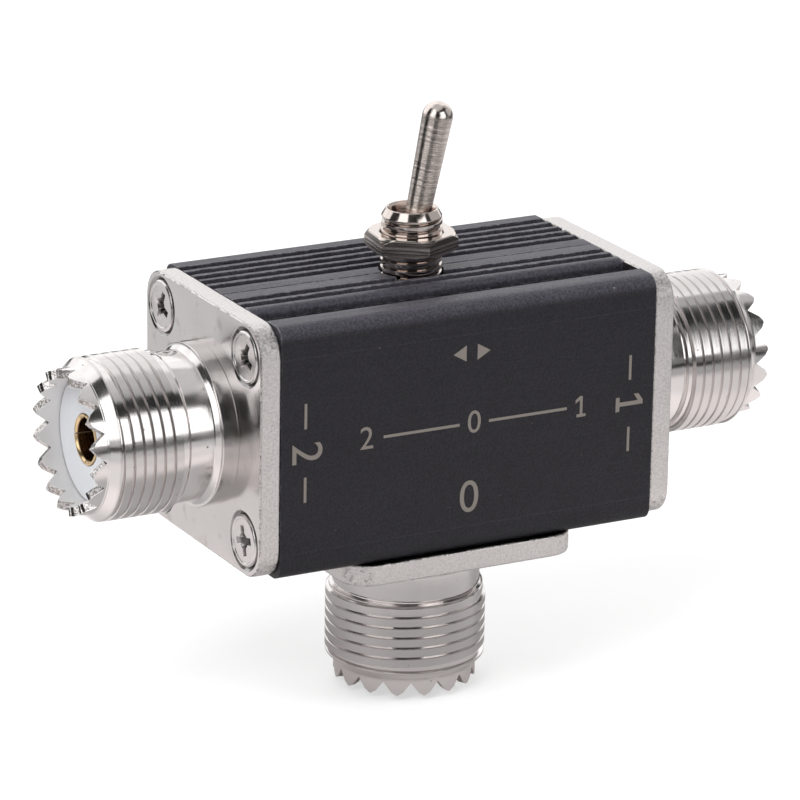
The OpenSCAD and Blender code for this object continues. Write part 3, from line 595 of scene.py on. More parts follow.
def rounded_outline(points, steps=3):
    """Closed outline in a plane: a point given as (x, y, r) is rounded with radius r."""
    outline = []
    count = len(points)
    for index, point in enumerate(points):
        here = Vector(point[:2])
        if len(point) == 2:
            outline.append(here)
            continue
        back = Vector(points[index - 1][:2]) - here
        ahead = Vector(points[(index + 1) % count][:2]) - here
        half = back.angle(ahead) / 2
        reach = min(point[2] / math.tan(half), 0.49 * min(back.length, ahead.length))
        radius = reach * math.tan(half)
        centre = here + (back.normalized() + ahead.normalized()).normalized() * radius / math.sin(half)
        first = here + back.normalized() * reach - centre
        last = here + ahead.normalized() * reach - centre
        start = math.atan2(first.y, first.x)
        sweep = (math.atan2(last.y, last.x) - start + math.pi) % FULL_TURN - math.pi
        for step in range(steps + 1):
            turn = start + sweep * step / steps
            outline.append(centre + Vector((math.cos(turn), math.sin(turn))) * radius)
    return outline


def circle_points(radius, height, centre=(0, 0), steps=48):
    return [Vector((centre[0] + radius * math.cos(FULL_TURN * step / steps),
                    centre[1] + radius * math.sin(FULL_TURN * step / steps), height))
            for step in range(steps)]


def cleaned(mesh, merge=1e-4):
    """Joins double points, drops empty faces and turns every face outward."""
    bm = bmesh.new()
    bm.from_mesh(mesh)
    bmesh.ops.remove_doubles(bm, verts=bm.verts, dist=merge)
    bmesh.ops.dissolve_degenerate(bm, edges=bm.edges, dist=merge)
    bmesh.ops.recalc_face_normals(bm, faces=bm.faces)
    bm.to_mesh(mesh)
    bm.free()
    return mesh


def mesh_of(name, vertices=(), faces=()):
    mesh = bpy.data.meshes.new(name)
    mesh.from_pydata(vertices, [], faces)
    return cleaned(mesh)


def neighbours(ring):
    """Each point of a closed ring with the one after it."""
    return zip(ring, ring[1:] + ring[:1])


def walls_between(count, low, high):
    """Faces that join two rings of count points, whose first points are low and high."""
    return [(low + index, low + (index + 1) % count, high + (index + 1) % count, high + index)
            for index in range(count)]


def turned(name, profile, steps=96):
    """Ring or solid made by turning a closed profile of (radius, height) about the z axis."""
    rows = len(profile)
    vertices = [(radius * math.cos(FULL_TURN * step / steps),
                 radius * math.sin(FULL_TURN * step / steps), height)
                for step in range(steps) for radius, height in profile]
    faces = []
    for step in range(steps):
        here, there = step * rows, (step + 1) % steps * rows
        for row in range(rows):
            up = (row + 1) % rows
            faces.append((here + row, there + row, there + up, here + up))
    return mesh_of(name, vertices, faces)


def layered_plate(name, outer_rings, hole_rings):
    """Plate whose outer wall and holes each follow rings of points from the back to the front."""
    bm = bmesh.new()
    caps = {0: [], -1: []}
    for rings in [outer_rings, *hole_rings]:
        made = [[bm.verts.new(point) for point in ring] for ring in rings]
        for lower, upper in zip(made, made[1:]):
            for (here, there), (over_here, over_there) in zip(neighbours(lower), neighbours(upper)):
                bm.faces.new((here, there, over_there, over_here))
        for end in caps:
            caps[end] += [bm.edges.get(pair) for pair in neighbours(made[end])]
    for edges in caps.values():
        bmesh.ops.triangle_fill(bm, use_beauty=True, use_dissolve=False, edges=edges)
    bmesh.ops.recalc_face_normals(bm, faces=bm.faces)
    mesh = bpy.data.meshes.new(name)
    bm.to_mesh(mesh)
    bm.free()
    return mesh


def joined(name, meshes):
    """One mesh from several, with all their materials kept."""
    bm = bmesh.new()
    materials = []
    for mesh in meshes:
        first = len(bm.faces)
        bm.from_mesh(mesh)
        bm.faces.ensure_lookup_table()
        slots = list(mesh.materials) or [None]
        for face in bm.faces[first:]:
            material = slots[min(face.material_index, len(slots) - 1)]
            if material not in materials:
                materials.append(material)
            face.material_index = materials.index(material)
    result = bpy.data.meshes.new(name)
    bm.to_mesh(result)
    bm.free()
    for material in materials:
        result.materials.append(material)
    return result


def shown(name, mesh):
    """Object in the scene that holds this mesh."""
    made = bpy.data.objects.new(name, mesh)
    bpy.context.scene.collection.objects.link(made)
    return made


def settled(thing):
    """Turns an object and its modifiers into a plain mesh, which it returns; the object goes."""
    bpy.context.view_layer.update()
    graph = bpy.context.evaluated_depsgraph_get()
    mesh = bpy.data.meshes.new_from_object(
        thing.evaluated_get(graph), preserve_all_data_layers=True, depsgraph=graph)
    bpy.data.objects.remove(thing)
    return mesh


def modified(mesh, kind, **settings):
    """Copy of a mesh after one modifier."""
    thing = shown("working", mesh)
    modifier = thing.modifiers.new(kind, kind)
    for name, value in settings.items():
        setattr(modifier, name, value)
    return settled(thing)


def bevelled(mesh, width, segments=2, sharp=30):
    """Copy of a mesh with the edges rounded that are sharper than an angle in degrees."""
    return modified(mesh, "BEVEL", width=width, segments=segments, limit_method="ANGLE",
                    angle_limit=math.radians(sharp), use_clamp_overlap=True)


def cut_or_kept(mesh, other, operation="DIFFERENCE"):
    """A mesh less another, or what the two share."""
    tool = shown("tool", other)
    result = modified(mesh, "BOOLEAN", operation=operation, object=tool, solver="EXACT")
    bpy.data.objects.remove(tool)
    return result


def grown(tree, values, mesh=None):
    """Mesh that a geometry node tree makes from its named inputs and, to repeat it, from a mesh."""
    thing = shown(tree, mesh or mesh_of("nothing"))
    modifier = thing.modifiers.new(tree, "NODES")
    modifier.node_group = bpy.data.node_groups[tree]
    for item in modifier.node_group.interface.items_tree:
        if item.item_type == "SOCKET" and item.in_out == "INPUT" and item.name in values:
            modifier[item.identifier] = values[item.name]
    return settled(thing)


def paint(mesh, material):
    mesh.materials.clear()
    mesh.materials.append(material)
    return mesh


def keep_own_place(mesh):
    """Keeps a mesh's own coordinates for its material, unless it has them already."""
    if "place_mm" not in mesh.attributes:
        own = mesh.attributes.new("place_mm", "FLOAT_VECTOR", "POINT")
        own.data.foreach_set("vector", [value for vertex in mesh.vertices for value in vertex.co])


def finish_piece(name, mesh, place, body, nodes, sharp=16):
    """Sets a finished mesh in place as a piece of a body, smooth but for edges sharper than an angle."""
    keep_own_place(mesh)
    mesh.transform(place)
    mesh.polygons.foreach_set("use_smooth", [True] * len(mesh.polygons))
    mesh.set_sharp_from_angle(angle=math.radians(sharp))
    mesh.update()
    piece = shown(name, mesh)
    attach(piece, body)
    if nodes:
        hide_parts(*nodes)


def loose_copy(node, place):
    """Merged copy of a frame node's mesh, back in its own millimetres."""
    mesh = frame["nodes"][node].data.copy()
    mesh.materials.clear()
    mesh.transform(place.inverted())
    bm = bmesh.new()
    bm.from_mesh(mesh)
    bmesh.ops.remove_doubles(bm, verts=bm.verts, dist=1e-4)
    bmesh.ops.dissolve_limit(bm, angle_limit=math.radians(0.3), verts=bm.verts, edges=bm.edges)
    bm.to_mesh(mesh)
    bm.free()
    return mesh


def finish_as_made(node, name, place, body, slot, edge, segments=2, bevel_from=30, sharp=16):
    """Shows a frame node in its own shape, with its edges eased."""
    mesh = bevelled(loose_copy(node, place), edge, segments, bevel_from)
    finish_piece(name, paint(mesh, FINISHES[slot]), place, body, [node], sharp)


# ---------------------------------------------------------------- geometry node trees

def geometry_group(name, inputs):
    """Tree that ends in real, smooth faces of the given material: its Graph, inputs and ending."""
    graph, given, result = new_group(
        name, "GeometryNodeTree", {"Geometry": GEOMETRY, **inputs, "Material": MATERIAL},
        {"Geometry": GEOMETRY})

    def finish_tree(geometry):
        real = graph.add("GeometryNodeRealizeInstances", {"Geometry": geometry})
        smooth = graph.add("GeometryNodeSetShadeSmooth", {"Geometry": real.outputs[0]})
        painted = graph.add("GeometryNodeSetMaterial", {
            "Geometry": smooth.outputs[0], "Material": given["Material"]})
        graph.feed(result["Geometry"], painted.outputs[0])

    return graph, given, finish_tree


def make_thread_tree():
    """Screw thread: a rounded ridge wound about the z axis, running out to nothing at both ends."""
    graph, given, finish_tree = geometry_group("helical_thread", {
        "Crest Radius": 7.9, "Root Radius": 7.3, "Pitch": 1.0, "Turns": 7.0, "Start": 0.0,
        "Run Out": 0.4, "Crest Share": 0.6, "Steps per Turn": 96.0})
    section_points = 33
    grid = graph.add("GeometryNodeMeshGrid", {
        "Size X": 1.0, "Size Y": 1.0, "Vertices Y": section_points,
        "Vertices X": graph.times(given["Turns"], given["Steps per Turn"], 1.0)})
    spot = graph.split(graph.add("GeometryNodeInputPosition").outputs[0])
    along, across = graph.plus(spot["X"], 0.5), graph.plus(spot["Y"], 0.5)
    # The section runs over the ridge from one groove to the next and back inside the core
    swing = graph.math("ABSOLUTE", graph.times(across, 4.0, -2.0))
    side = graph.math("SINE", graph.times(graph.minus(1.0, swing), QUARTER_TURN))
    outer = graph.math("LESS_THAN", across, 0.5001)
    hump = graph.ramp(graph.math("ABSOLUTE", side), 1.0, given["Crest Share"])
    depth = graph.minus(given["Crest Radius"], given["Root Radius"])
    under = graph.times(graph.minus(1.0, outer), graph.times(hump, -0.15))
    offset = graph.times(outer, graph.times(hump, depth), under)
    turns_done = graph.times(along, given["Turns"])
    turns_left = graph.minus(given["Turns"], turns_done)
    near_end = graph.math("DIVIDE", graph.math("MINIMUM", turns_done, turns_left), given["Run Out"])
    radius = graph.times(offset, graph.ramp(near_end, 0.0, 1.0), given["Root Radius"])
    turn = graph.times(turns_done, FULL_TURN)
    rise = graph.times(turns_done, given["Pitch"], given["Start"])
    # A little less than half a pitch to each side, so that the turns never meet
    height = graph.times(graph.times(side, 0.499), given["Pitch"], rise)
    moved = graph.add("GeometryNodeSetPosition", {
        "Geometry": grid.outputs["Mesh"],
        "Position": graph.point(graph.times(radius, graph.math("COSINE", turn)),
                                graph.times(radius, graph.math("SINE", turn)), height)})
    welded = graph.add("GeometryNodeMergeByDistance", {
        "Geometry": moved.outputs[0], "Distance": 1e-4})
    finish_tree(welded.outputs[0])


def placed_copies(graph, given, points, turn):
    """Copies of the given piece on points, each turned about the z axis."""
    return graph.add("GeometryNodeInstanceOnPoints", {
        "Points": points, "Instance": given["Geometry"], "Rotation": graph.point(z=turn)}).outputs[0]


def make_ring_tree():
    """One piece repeated on a ring about the z axis."""
    graph, given, finish_tree = geometry_group(
        "ring_of_pieces", {"Count": 16.0, "First Angle": 0.0})
    points = graph.add("GeometryNodePoints", {"Count": given["Count"]}).outputs[0]
    index = graph.add("GeometryNodeInputIndex").outputs[0]
    step = graph.math("DIVIDE", FULL_TURN, given["Count"])
    turn = graph.times(index, step, given["First Angle"])
    finish_tree(placed_copies(graph, given, points, turn))


def make_corner_tree():
    """One piece repeated at the corners of a square, each with a turn of its own."""
    graph, given, finish_tree = geometry_group(
        "corner_pieces", {"Spacing": 18.0, "Turn Spread": 0.5})
    grid = graph.add("GeometryNodeMeshGrid", {
        "Size X": given["Spacing"], "Size Y": given["Spacing"], "Vertices X": 2, "Vertices Y": 2})
    chance = graph.add("FunctionNodeRandomValue", {
        2: graph.times(given["Turn Spread"], -1.0), 3: given["Turn Spread"], "Seed": 7},
        data_type="FLOAT")
    finish_tree(placed_copies(graph, given, grid.outputs["Mesh"], chance.outputs[1]))


def make_coil_tree():
    """Round wire wound into a coil about the z axis."""
    graph, given, finish_tree = geometry_group("wire_coil", {
        "Turns": 5.0, "Radius": 0.6, "Height": 2.0, "Wire Radius": 0.1, "Start": 0.0})
    line = graph.add("GeometryNodeCurveSpiral", {
        "Resolution": 32, "Rotations": given["Turns"], "Start Radius": given["Radius"],
        "End Radius": given["Radius"], "Height": given["Height"]})
    ring = graph.add("GeometryNodeCurvePrimitiveCircle", {
        "Resolution": 12, "Radius": given["Wire Radius"]})
    tube = graph.add("GeometryNodeCurveToMesh", {
        "Curve": line.outputs[0], "Profile Curve": ring.outputs[0], "Fill Caps": True})
    moved = graph.add("GeometryNodeTransform", {
        "Geometry": tube.outputs[0], "Translation": graph.point(z=given["Start"])})
    finish_tree(moved.outputs[0])


# ---------------------------------------------------------------- pieces

FINISHES = {}
CORNERS = ((-1, -1), (-1, 1), (1, -1), (1, 1))


def square_ring(half, corner, height, wobble, seed):
    """Points round a rounded square; wobble takes a little off the edge here and there."""
    corners = rounded_outline([(half, -half, corner), (half, half, corner),
                               (-half, half, corner), (-half, -half, corner)], 8)
    points = []
    for start, end in neighbours(corners):
        pieces = 36 if (end - start).length > half else 1
        for step in range(pieces):
            spot = start.lerp(end, step / pieces)
            bite = noise.noise(Vector((spot.x * 1.7, spot.y * 1.7, height * 2 + seed)))
            spot = spot * (1 - wobble * (0.5 + 0.5 * bite) / half)
            points.append(Vector((spot.x, spot.y, height)))
    return points


def socket_plate(sizes, seed):
    """Square flange with its countersunk holes, bore and slightly uneven edges."""
    half, thick, corner = in_mm(FLANGE_HALF), in_mm(sizes.flange_t), in_mm(sizes.flange_corner)
    edge = 0.18
    levels = [(edge, 0, 0.02), (edge * 0.3, edge * 0.3, 0.05), (0, edge, 0.05),
              (0, thick * 0.35, 0.03), (0, thick * 0.7, 0.03), (0, thick - edge, 0.06),
              (edge * 0.3, thick - edge * 0.3, 0.05), (edge, thick, 0.02)]
    outer = [square_ring(half - inset, corner - inset, height, wobble, seed)
             for inset, height, wobble in levels]
    spacing = half - in_mm(sizes.screw_edge)
    places = [(x * spacing, y * spacing) for x, y in CORNERS]
    sink, hole = in_mm(sizes.sink_r), 1.65
    holes = [[circle_points(radius, height, place) for radius, height in (
        (hole, 0), (hole, thick - (sink - hole)), (sink - 0.06, thick - 0.06),
        (sink + 0.02, thick - 0.01), (sink + 0.1, thick))] for place in places]
    head, head_depth, bore = 6.65, 1.2, in_mm(sizes.bore_r)
    holes.append([circle_points(radius, height, steps=128) for radius, height in (
        (head, 0), (head, head_depth), (bore, head_depth), (bore, thick))])
    plate = layered_plate("plate", outer, holes)
    plate.materials.append(FINISHES["nickel_socket"])
    plate.materials.append(FINISHES["sandy_edge"])
    for face in plate.polygons:
        x, y = face.center[:2]
        outside = abs(face.normal.z) < 0.9 and max(abs(x), abs(y)) > half - 1.2
        from_screw = min(math.hypot(x - screw_x, y - screw_y) for screw_x, screw_y in places)
        if outside and from_screw > sink + 0.2:
            face.material_index = 1
    return plate


def socket_body(sizes):
    """Boss, neck, core of the thread and the plain nose that carries the crown."""
    thick, bore = in_mm(sizes.flange_t), in_mm(sizes.bore_r)
    boss, neck, crown = in_mm(sizes.boss_r), in_mm(sizes.neck_r), in_mm(sizes.crown_r)
    foot = thick * 0.6
    boss_top = thick + in_mm(sizes.boss_len)
    neck_end = thick + in_mm(sizes.neck_end)
    notch = thick + in_mm(sizes.total_len) - in_mm(sizes.notch_d)
    step, undercut, collar = boss - 0.34, neck - 0.22, crown + 0.06
    lead = in_mm(sizes.thread_r) - 0.04
    core = in_mm(sizes.thread_r) - 0.4
    profile = rounded_outline([
        (bore, foot), (boss - 0.4, foot), (boss, thick + 0.05, 0.12), (boss, boss_top, 0.14),
        (step + 0.06, boss_top, 0.05), (step, boss_top + 0.06, 0.03),
        (neck + 0.05, boss_top + 0.42, 0.1), (neck, boss_top + 0.55, 0.1),
        (neck, neck_end - 0.12, 0.05), (undercut, neck_end, 0.05),
        (undercut, neck_end + 0.18, 0.03), (core, neck_end + 0.3), (core, notch - 1.42),
        (lead, notch - 1.3, 0.05), (lead, notch - 1.12, 0.12), (collar, notch - 0.26, 0.05),
        (collar, notch - 0.16, 0.03), (crown, notch - 0.1, 0.03), (crown, notch + 0.02),
        (bore, notch + 0.02)])
    return paint(turned("body", profile, 160), FINISHES["nickel_socket"])


def crown_tooth(sizes):
    """One tooth with a rounded tip, wider outside than inside, as a straight V notch leaves it."""
    tips = in_mm(sizes.flange_t) + in_mm(sizes.total_len)
    root = tips - in_mm(sizes.notch_d)
    foot = root - 0.05
    half_step = math.pi / sizes.teeth
    notch_half, rounding, rounding_width = 1.05, 0.16, 0.12
    slope = in_mm(sizes.notch_d) / notch_half
    vertices = []
    for radius in (in_mm(sizes.bore_r), in_mm(sizes.crown_r)):
        wide = radius * math.tan(half_step)
        narrow = max(radius * math.sin(half_step) - notch_half, 0.05)
        flank = [-wide + (wide - narrow) * step / 4 for step in range(4)]
        tip = [narrow * share for share in (-1, -0.66, -0.33, 0, 0.33, 0.66, 1)]
        for across in flank + tip + [-place for place in reversed(flank)]:
            along = math.sqrt(max(radius * radius - across * across, 0))
            past_tip = abs(across) - narrow
            drop = max(1 - past_tip / rounding_width, 0) if past_tip > 0 else (across / narrow) ** 2
            top = min(root + (wide - abs(across)) * slope, tips) - rounding * drop
            vertices += [(along, across, foot), (along, across, max(top, root - 0.01))]
    outer = len(vertices) // 2
    faces = [(0, 1, outer + 1, outer), (outer - 2, outer - 1, 2 * outer - 1, 2 * outer - 2)]
    for here in range(0, outer - 2, 2):
        there = here + 2
        faces += [(here, there, there + 1, here + 1),
                  (outer + here, outer + there, outer + there + 1, outer + here + 1),
                  (here + 1, there + 1, outer + there + 1, outer + here + 1),
                  (here, there, outer + there, outer + here)]
    return bevelled(mesh_of("tooth", vertices, faces), 0.06)


class SWITCH_OT_sockets(bpy.types.Operator):
    """Three threaded sockets: flange, boss, neck, helical thread and crown"""

    bl_idname = "switch.sockets"
    bl_label = "Sockets"

    def execute(self, context):
        sizes = context.scene.socket_settings
        nickel = FINISHES["nickel_socket"]
        crest, groove_depth, run_out = in_mm(sizes.thread_r), 0.32, 0.3
        for number, (port, place) in enumerate(PORTS.items()):
            thread = grown("helical_thread", {
                "Crest Radius": crest, "Root Radius": crest - groove_depth, "Run Out": run_out,
                "Pitch": in_mm(sizes.thread_pitch), "Turns": sizes.thread_turns - 0.95,
                "Start": in_mm(sizes.flange_t + sizes.neck_end) + 0.5, "Crest Share": 0.72,
                "Material": nickel})
            crown = grown("ring_of_pieces", {
                "Count": float(sizes.teeth), "First Angle": math.pi / sizes.teeth,
                "Material": nickel}, crown_tooth(sizes))
            mesh = joined("socket", [socket_plate(sizes, number * 5.0), socket_body(sizes),
                                     thread, crown])
            finish_piece(f"{port}_threaded_socket", mesh, place, "case", [f"{port}_socket"],
                         14)
        return {"FINISHED"}


def cross_arm(top, reach=1.55, half_width=0.36, depth=0.9):
    """Wedge that cuts one arm of a cross recess on both sides of the middle."""
    rows = ((reach, half_width, top + 0.5), (reach, half_width, top - 0.05),
            (reach * 0.45, half_width * 0.6, top - depth))
    vertices = [(x * run, y * wide, height) for run, wide, height in rows
                for x, y in ((-1, -1), (1, -1), (1, 1), (-1, 1))]
    faces = [(3, 2, 1, 0), (8, 9, 10, 11), *walls_between(4, 0, 4), *walls_between(4, 4, 8)]
    return mesh_of("arm", vertices, faces)


def cross_screw(sizes):
    """Countersunk screw: raised rim, flat face and a tapered cross recess."""
    top = in_mm(sizes.flange_t) + 0.1
    head, shank, end = 2.56, 1.5, in_mm(sizes.flange_t) - 6
    cone_top = top - 0.45
    profile = rounded_outline([
        (0, end), (shank - 0.3, end), (shank, end + 0.4), (shank, cone_top - (head - shank)),
        (head, cone_top, 0.05), (head, top - 0.12, 0.1), (head - 0.18, top, 0.06),
        (head - 0.36, top, 0.05), (head - 0.44, top - 0.07, 0.04), (0, top - 0.05)])
    body = turned("screw", profile, 64)
    for turn in (0, QUARTER_TURN):
        arm = cross_arm(top)
        arm.transform(Matrix.Rotation(turn, 4, "Z"))
        body = cut_or_kept(body, arm)
    core = turned("core", [(0, top + 0.5), (0.82, top + 0.5), (0.8, top - 0.1), (0.35, top - 1.3),
                           (0, top - 1.45)], 24)
    return cleaned(cut_or_kept(body, core))


class SWITCH_OT_screws(bpy.types.Operator):
    """Four countersunk screws in each flange"""

    bl_idname = "switch.screws"
    bl_label = "Flange screws"

    def execute(self, context):
        sizes = context.scene.socket_settings
        spacing = 2 * (in_mm(FLANGE_HALF) - in_mm(sizes.screw_edge))
        for port, place in PORTS.items():
            screw = cross_screw(sizes)
            keep_own_place(screw)
            mesh = grown("corner_pieces", {
                "Spacing": spacing, "Turn Spread": 0.5, "Material": FINISHES["screw_steel"]}, screw)
            finish_piece(f"{port}_flange_screws", mesh, place, "case", [f"{port}_screws"])
        return {"FINISHED"}


class SWITCH_OT_insulators(bpy.types.Operator):
    """White insulators with rounded faces, turned from plastic"""

    bl_idname = "switch.insulators"
    bl_label = "Insulators"

    def execute(self, context):
        for port, place in PORTS.items():
            finish_as_made(f"{port}_insulator", f"{port}_white_insulator", place, "case",
                           "white_insulator", 0.12, 3)
        return {"FINISHED"}


class SWITCH_OT_contacts(bpy.types.Operator):
    """Slotted gilt centre contacts with their solder cups"""

    bl_idname = "switch.contacts"
    bl_label = "Centre contacts"

    def execute(self, context):
        for port, place in PORTS.items():
            finish_as_made(f"{port}_contact", f"{port}_centre_contact", place, "case",
                           "gilt_contact", 0.05)
        return {"FINISHED"}


class SWITCH_OT_case(bpy.types.Operator):
    """Two extruded half shells with ribbed faces"""

    bl_idname = "switch.case"
    bl_label = "Case"

    def execute(self, context):
        for side in ("front", "rear"):
            finish_as_made(f"{side}_shell", f"{side}_case_shell", OWN_MM, "case",
                           "anodised_case", 0.13, bevel_from=40)
        return {"FINISHED"}


def arc(radius, turns, height=0.0):
    """Points of a profile on a circle whose middle is on the z axis at a height."""
    return [(radius * math.cos(turn), height + radius * math.sin(turn)) for turn in turns]


class SWITCH_OT_bushing(bpy.types.Operator):
    """Threaded bushing with a bevelled rim and the seat of the lever's ball"""

    bl_idname = "switch.bushing"
    bl_label = "Bushing"

    def execute(self, context):
        sizes = context.scene.toggle_settings
        top, outer = in_mm(sizes.bushing_h), in_mm(sizes.bushing_r)
        core, collar, plain = outer - 0.32, outer + 0.4, outer - 0.05
        collar_low, collar_high = -3.35, -2.55
        seat, pivot = 2.0, in_mm(PIVOT.z - CASE_TOP)
        room = 0.22
        rim = (top - pivot) * math.tan(sizes.lever_angle) + in_mm(sizes.lever_r) + room
        profile = rounded_outline([
            (2.49, collar_low), (collar, collar_low), (collar, collar_high), (outer, collar_high),
            (outer, -1.35), (core, -1.1), (core, top - 0.98), (plain, top - 0.86, 0.04),
            (plain, top - 0.72, 0.08), (rim + 0.26, top - 0.03, 0.03), (rim + 0.22, top, 0.02),
            (rim + 0.12, top, 0.03), (rim - 0.02, top - 0.28, 0.05), (1.75, pivot + 1.12),
            *arc(seat, (0.53, 0.4, 0.25, 0.12, 0.0), pivot), (seat, pivot - 2)])
        body = paint(turned("bushing", profile), FINISHES["nickel_bushing"])
        thread = grown("helical_thread", {
            "Crest Radius": outer - 0.01, "Root Radius": core - 0.02,
            "Pitch": in_mm(sizes.bushing_pitch), "Turns": 8.35, "Start": -0.95, "Run Out": 0.3,
            "Crest Share": 0.5, "Steps per Turn": 64.0, "Material": FINISHES["nickel_bushing"]})
        finish_piece("threaded_bushing", joined("bushing", [body, thread]), TOP, "case",
                     ["switch_bushing"], 24)
        return {"FINISHED"}


class SWITCH_OT_nut(bpy.types.Operator):
    """Hexagon nut, chamfered on both faces, with a countersunk bore"""

    bl_idname = "switch.nut"
    bl_label = "Nut"

    def execute(self, context):
        sizes = context.scene.toggle_settings
        flat = in_mm(sizes.nut_af) / 2
        corner = flat / math.cos(math.pi / 6)
        vertices = [point for height in (NUT_LOW, NUT_HIGH)
                    for point in circle_points(corner, height, steps=6)]
        faces = [tuple(range(6)), tuple(range(11, 5, -1)), *walls_between(6, 0, 6)]
        prism = mesh_of("prism", vertices, faces)
        prism.transform(Matrix.Rotation(sizes.nut_turn, 4, "Z"))
        face_r, chamfer, past = flat + 0.12, 0.75, corner + 0.1
        cone = turned("cone", [
            (0, NUT_LOW), (face_r, NUT_LOW), (past, NUT_LOW + chamfer * 0.5),
            (past, NUT_HIGH - chamfer), (face_r, NUT_HIGH), (0, NUT_HIGH)])
        bore, sink = in_mm(sizes.bushing_r) + 0.05, 0.5
        drill = turned("drill", [
            (0, NUT_LOW - 1), (bore + sink, NUT_LOW - 0.3), (bore, NUT_LOW + 0.2),
            (bore, NUT_HIGH - 0.2), (bore + sink, NUT_HIGH + 0.3), (0, NUT_HIGH + 1)])
        mesh = cut_or_kept(cut_or_kept(prism, cone, "INTERSECT"), drill)
        mesh = bevelled(cleaned(mesh), 0.05, sharp=25)
        finish_piece("hexagon_nut", paint(mesh, FINISHES["nickel_nut"]), TOP, "case",
                     ["switch_nut"], 9)
        return {"FINISHED"}


def lever_place(lean):
    """Place of the pieces that swing with the lever, drawn upright about its pivot."""
    return Matrix.Translation(PIVOT) @ Matrix.Rotation(lean, 4, "Y") @ OWN_MM


class SWITCH_OT_lever(bpy.types.Operator):
    """Turned lever with a domed end, pivot ball and hollow tail"""

    bl_idname = "switch.lever"
    bl_label = "Lever"

    def execute(self, context):
        sizes = context.scene.toggle_settings
        shank, tip, reach = in_mm(sizes.lever_r), in_mm(sizes.tip_r), in_mm(sizes.lever_len)
        ball, tail, tail_len, bore, bore_top = 1.95, 1.1, 7.8, 0.75, 3.2
        taper_start, pin_bore = 4.1, 0.55
        dome = arc(tip, [QUARTER_TURN * step / 10 for step in range(1, 11)], reach)
        globe = arc(ball, [-0.93 + 1.8 * step / 14 for step in range(15)])
        profile = [(bore, -tail_len), (tail, -tail_len), (tail, globe[0][1] - 0.05), *globe,
                   (shank, globe[-1][1] + 0.1), (shank, taper_start), (tip, reach - 0.1),
                   (tip, reach), *dome, (0, -bore_top), (bore, -bore_top)]
        drill = turned("drill", [(0, -3), (pin_bore, -3), (pin_bore, 3), (0, 3)], 32)
        drill.transform(Matrix.Rotation(QUARTER_TURN, 4, "X"))
        mesh = cleaned(cut_or_kept(turned("lever", profile, 72), drill))
        finish_piece("turned_lever", paint(mesh, FINISHES["nickel_lever"]),
                     lever_place(sizes.lever_angle), "lever", ["toggle_lever"])
        return {"FINISHED"}


class SWITCH_OT_spring(bpy.types.Operator):
    """Compression spring inside the lever's tail"""

    bl_idname = "switch.spring"
    bl_label = "Plunger spring"

    def execute(self, context):
        mesh = grown("wire_coil", {
            "Turns": 5.0, "Radius": 0.59, "Height": 2.16, "Wire Radius": 0.1, "Start": -5.48,
            "Material": FINISHES["spring_steel"]})
        place = lever_place(context.scene.toggle_settings.lever_angle)
        finish_piece("coiled_spring", mesh, place, "lever", ["plunger_spring"])
        return {"FINISHED"}


# Frame node, piece, body, slot and rounding of each inner piece
INNER_PIECES = (
    ("lock_washer", "toothed_lock_washer", "case", "sheet_steel", 0.04),
    ("switch_frame", "folded_frame", "case", "sheet_steel", 0.06),
    ("switch_base", "switch_moulding", "case", "moulded_base", 0.1),
    ("pivot_pin", "lever_pin", "case", "sheet_steel", 0.06),
    ("plunger", "nylon_plunger", "lever", "nylon", 0.04),
    ("rocker_contact", "rocking_contact", "rocker", "contact_alloy", 0.05),
    ("terminal_1", "terminal_of_port_1", "case", "tinned_terminal", 0.06),
    ("terminal_2", "terminal_of_port_2", "case", "tinned_terminal", 0.06),
    ("terminal_common", "terminal_of_common", "case", "tinned_terminal", 0.06),
    ("wire_1", "lead_to_port_1", "case", "copper_wire", 0.03),
    ("wire_2", "lead_to_port_2", "case", "copper_wire", 0.03),
    ("wire_common", "lead_to_common", "case", "copper_wire", 0.03),
)


class SWITCH_OT_inner_pieces(bpy.types.Operator):
    """Pieces inside the case and under the bushing, with their edges eased"""

    bl_idname = "switch.inner_pieces"
    bl_label = "Inner pieces"

    def execute(self, context):
        for node, name, body, slot, edge in INNER_PIECES:
            finish_as_made(node, name, OWN_MM, body, slot, edge, bevel_from=50, sharp=50)
        return {"FINISHED"}


MARK_HALF_T = 0.012
STROKE_HALF = 0.14


def flat_text(text, size):
    """Plain number as a thin mesh, centred on its own middle."""
    curve = bpy.data.curves.new("number", "FONT")
    curve.body = text
    curve.size = size
    curve.extrude = MARK_HALF_T
    curve.align_x = "CENTER"
    curve.align_y = "CENTER"
    curve.resolution_u = 6
    return settled(shown("number", curve))


def flat_shape(outline):
    """Thin flat mark from an outline in its plane."""
    count = len(outline)
    vertices = [(x, y, z) for z in (-MARK_HALF_T, MARK_HALF_T) for x, y in outline]
    faces = [tuple(range(count)), tuple(range(2 * count - 1, count - 1, -1)),
             *walls_between(count, 0, count)]
    return mesh_of("mark", vertices, faces)


def figure_one(height):
    """Plain figure 1 with a flag and a foot."""
    half, stem, flag, foot = height / 2, height * 0.07, height * 0.3, height * 0.24
    foot_top = -half + 2 * stem
    return flat_shape([
        (-foot, -half), (foot, -half), (foot, foot_top), (stem, foot_top),
        (stem, half), (-stem, half), (-flag, half - 2.4 * stem), (-flag, half - 4.8 * stem),
        (-stem, half - 2.6 * stem), (-stem, foot_top), (-foot, foot_top)])


def bar(x_low, x_high, y):
    return flat_shape([(x_low, y - STROKE_HALF), (x_high, y - STROKE_HALF),
                       (x_high, y + STROKE_HALF), (x_low, y + STROKE_HALF)])


def placed(mesh, x, y, turn=0.0):
    mesh.transform(Matrix.Translation((x, y, 0)) @ Matrix.Rotation(turn, 4, "Z"))
    return mesh


def number(text, size, x, y, turn=0.0):
    """A number at its place on the front: the 1 has a foot, which the font's has not."""
    return placed(figure_one(size * 0.66) if text == "1" else flat_text(text, size), x, y, turn)


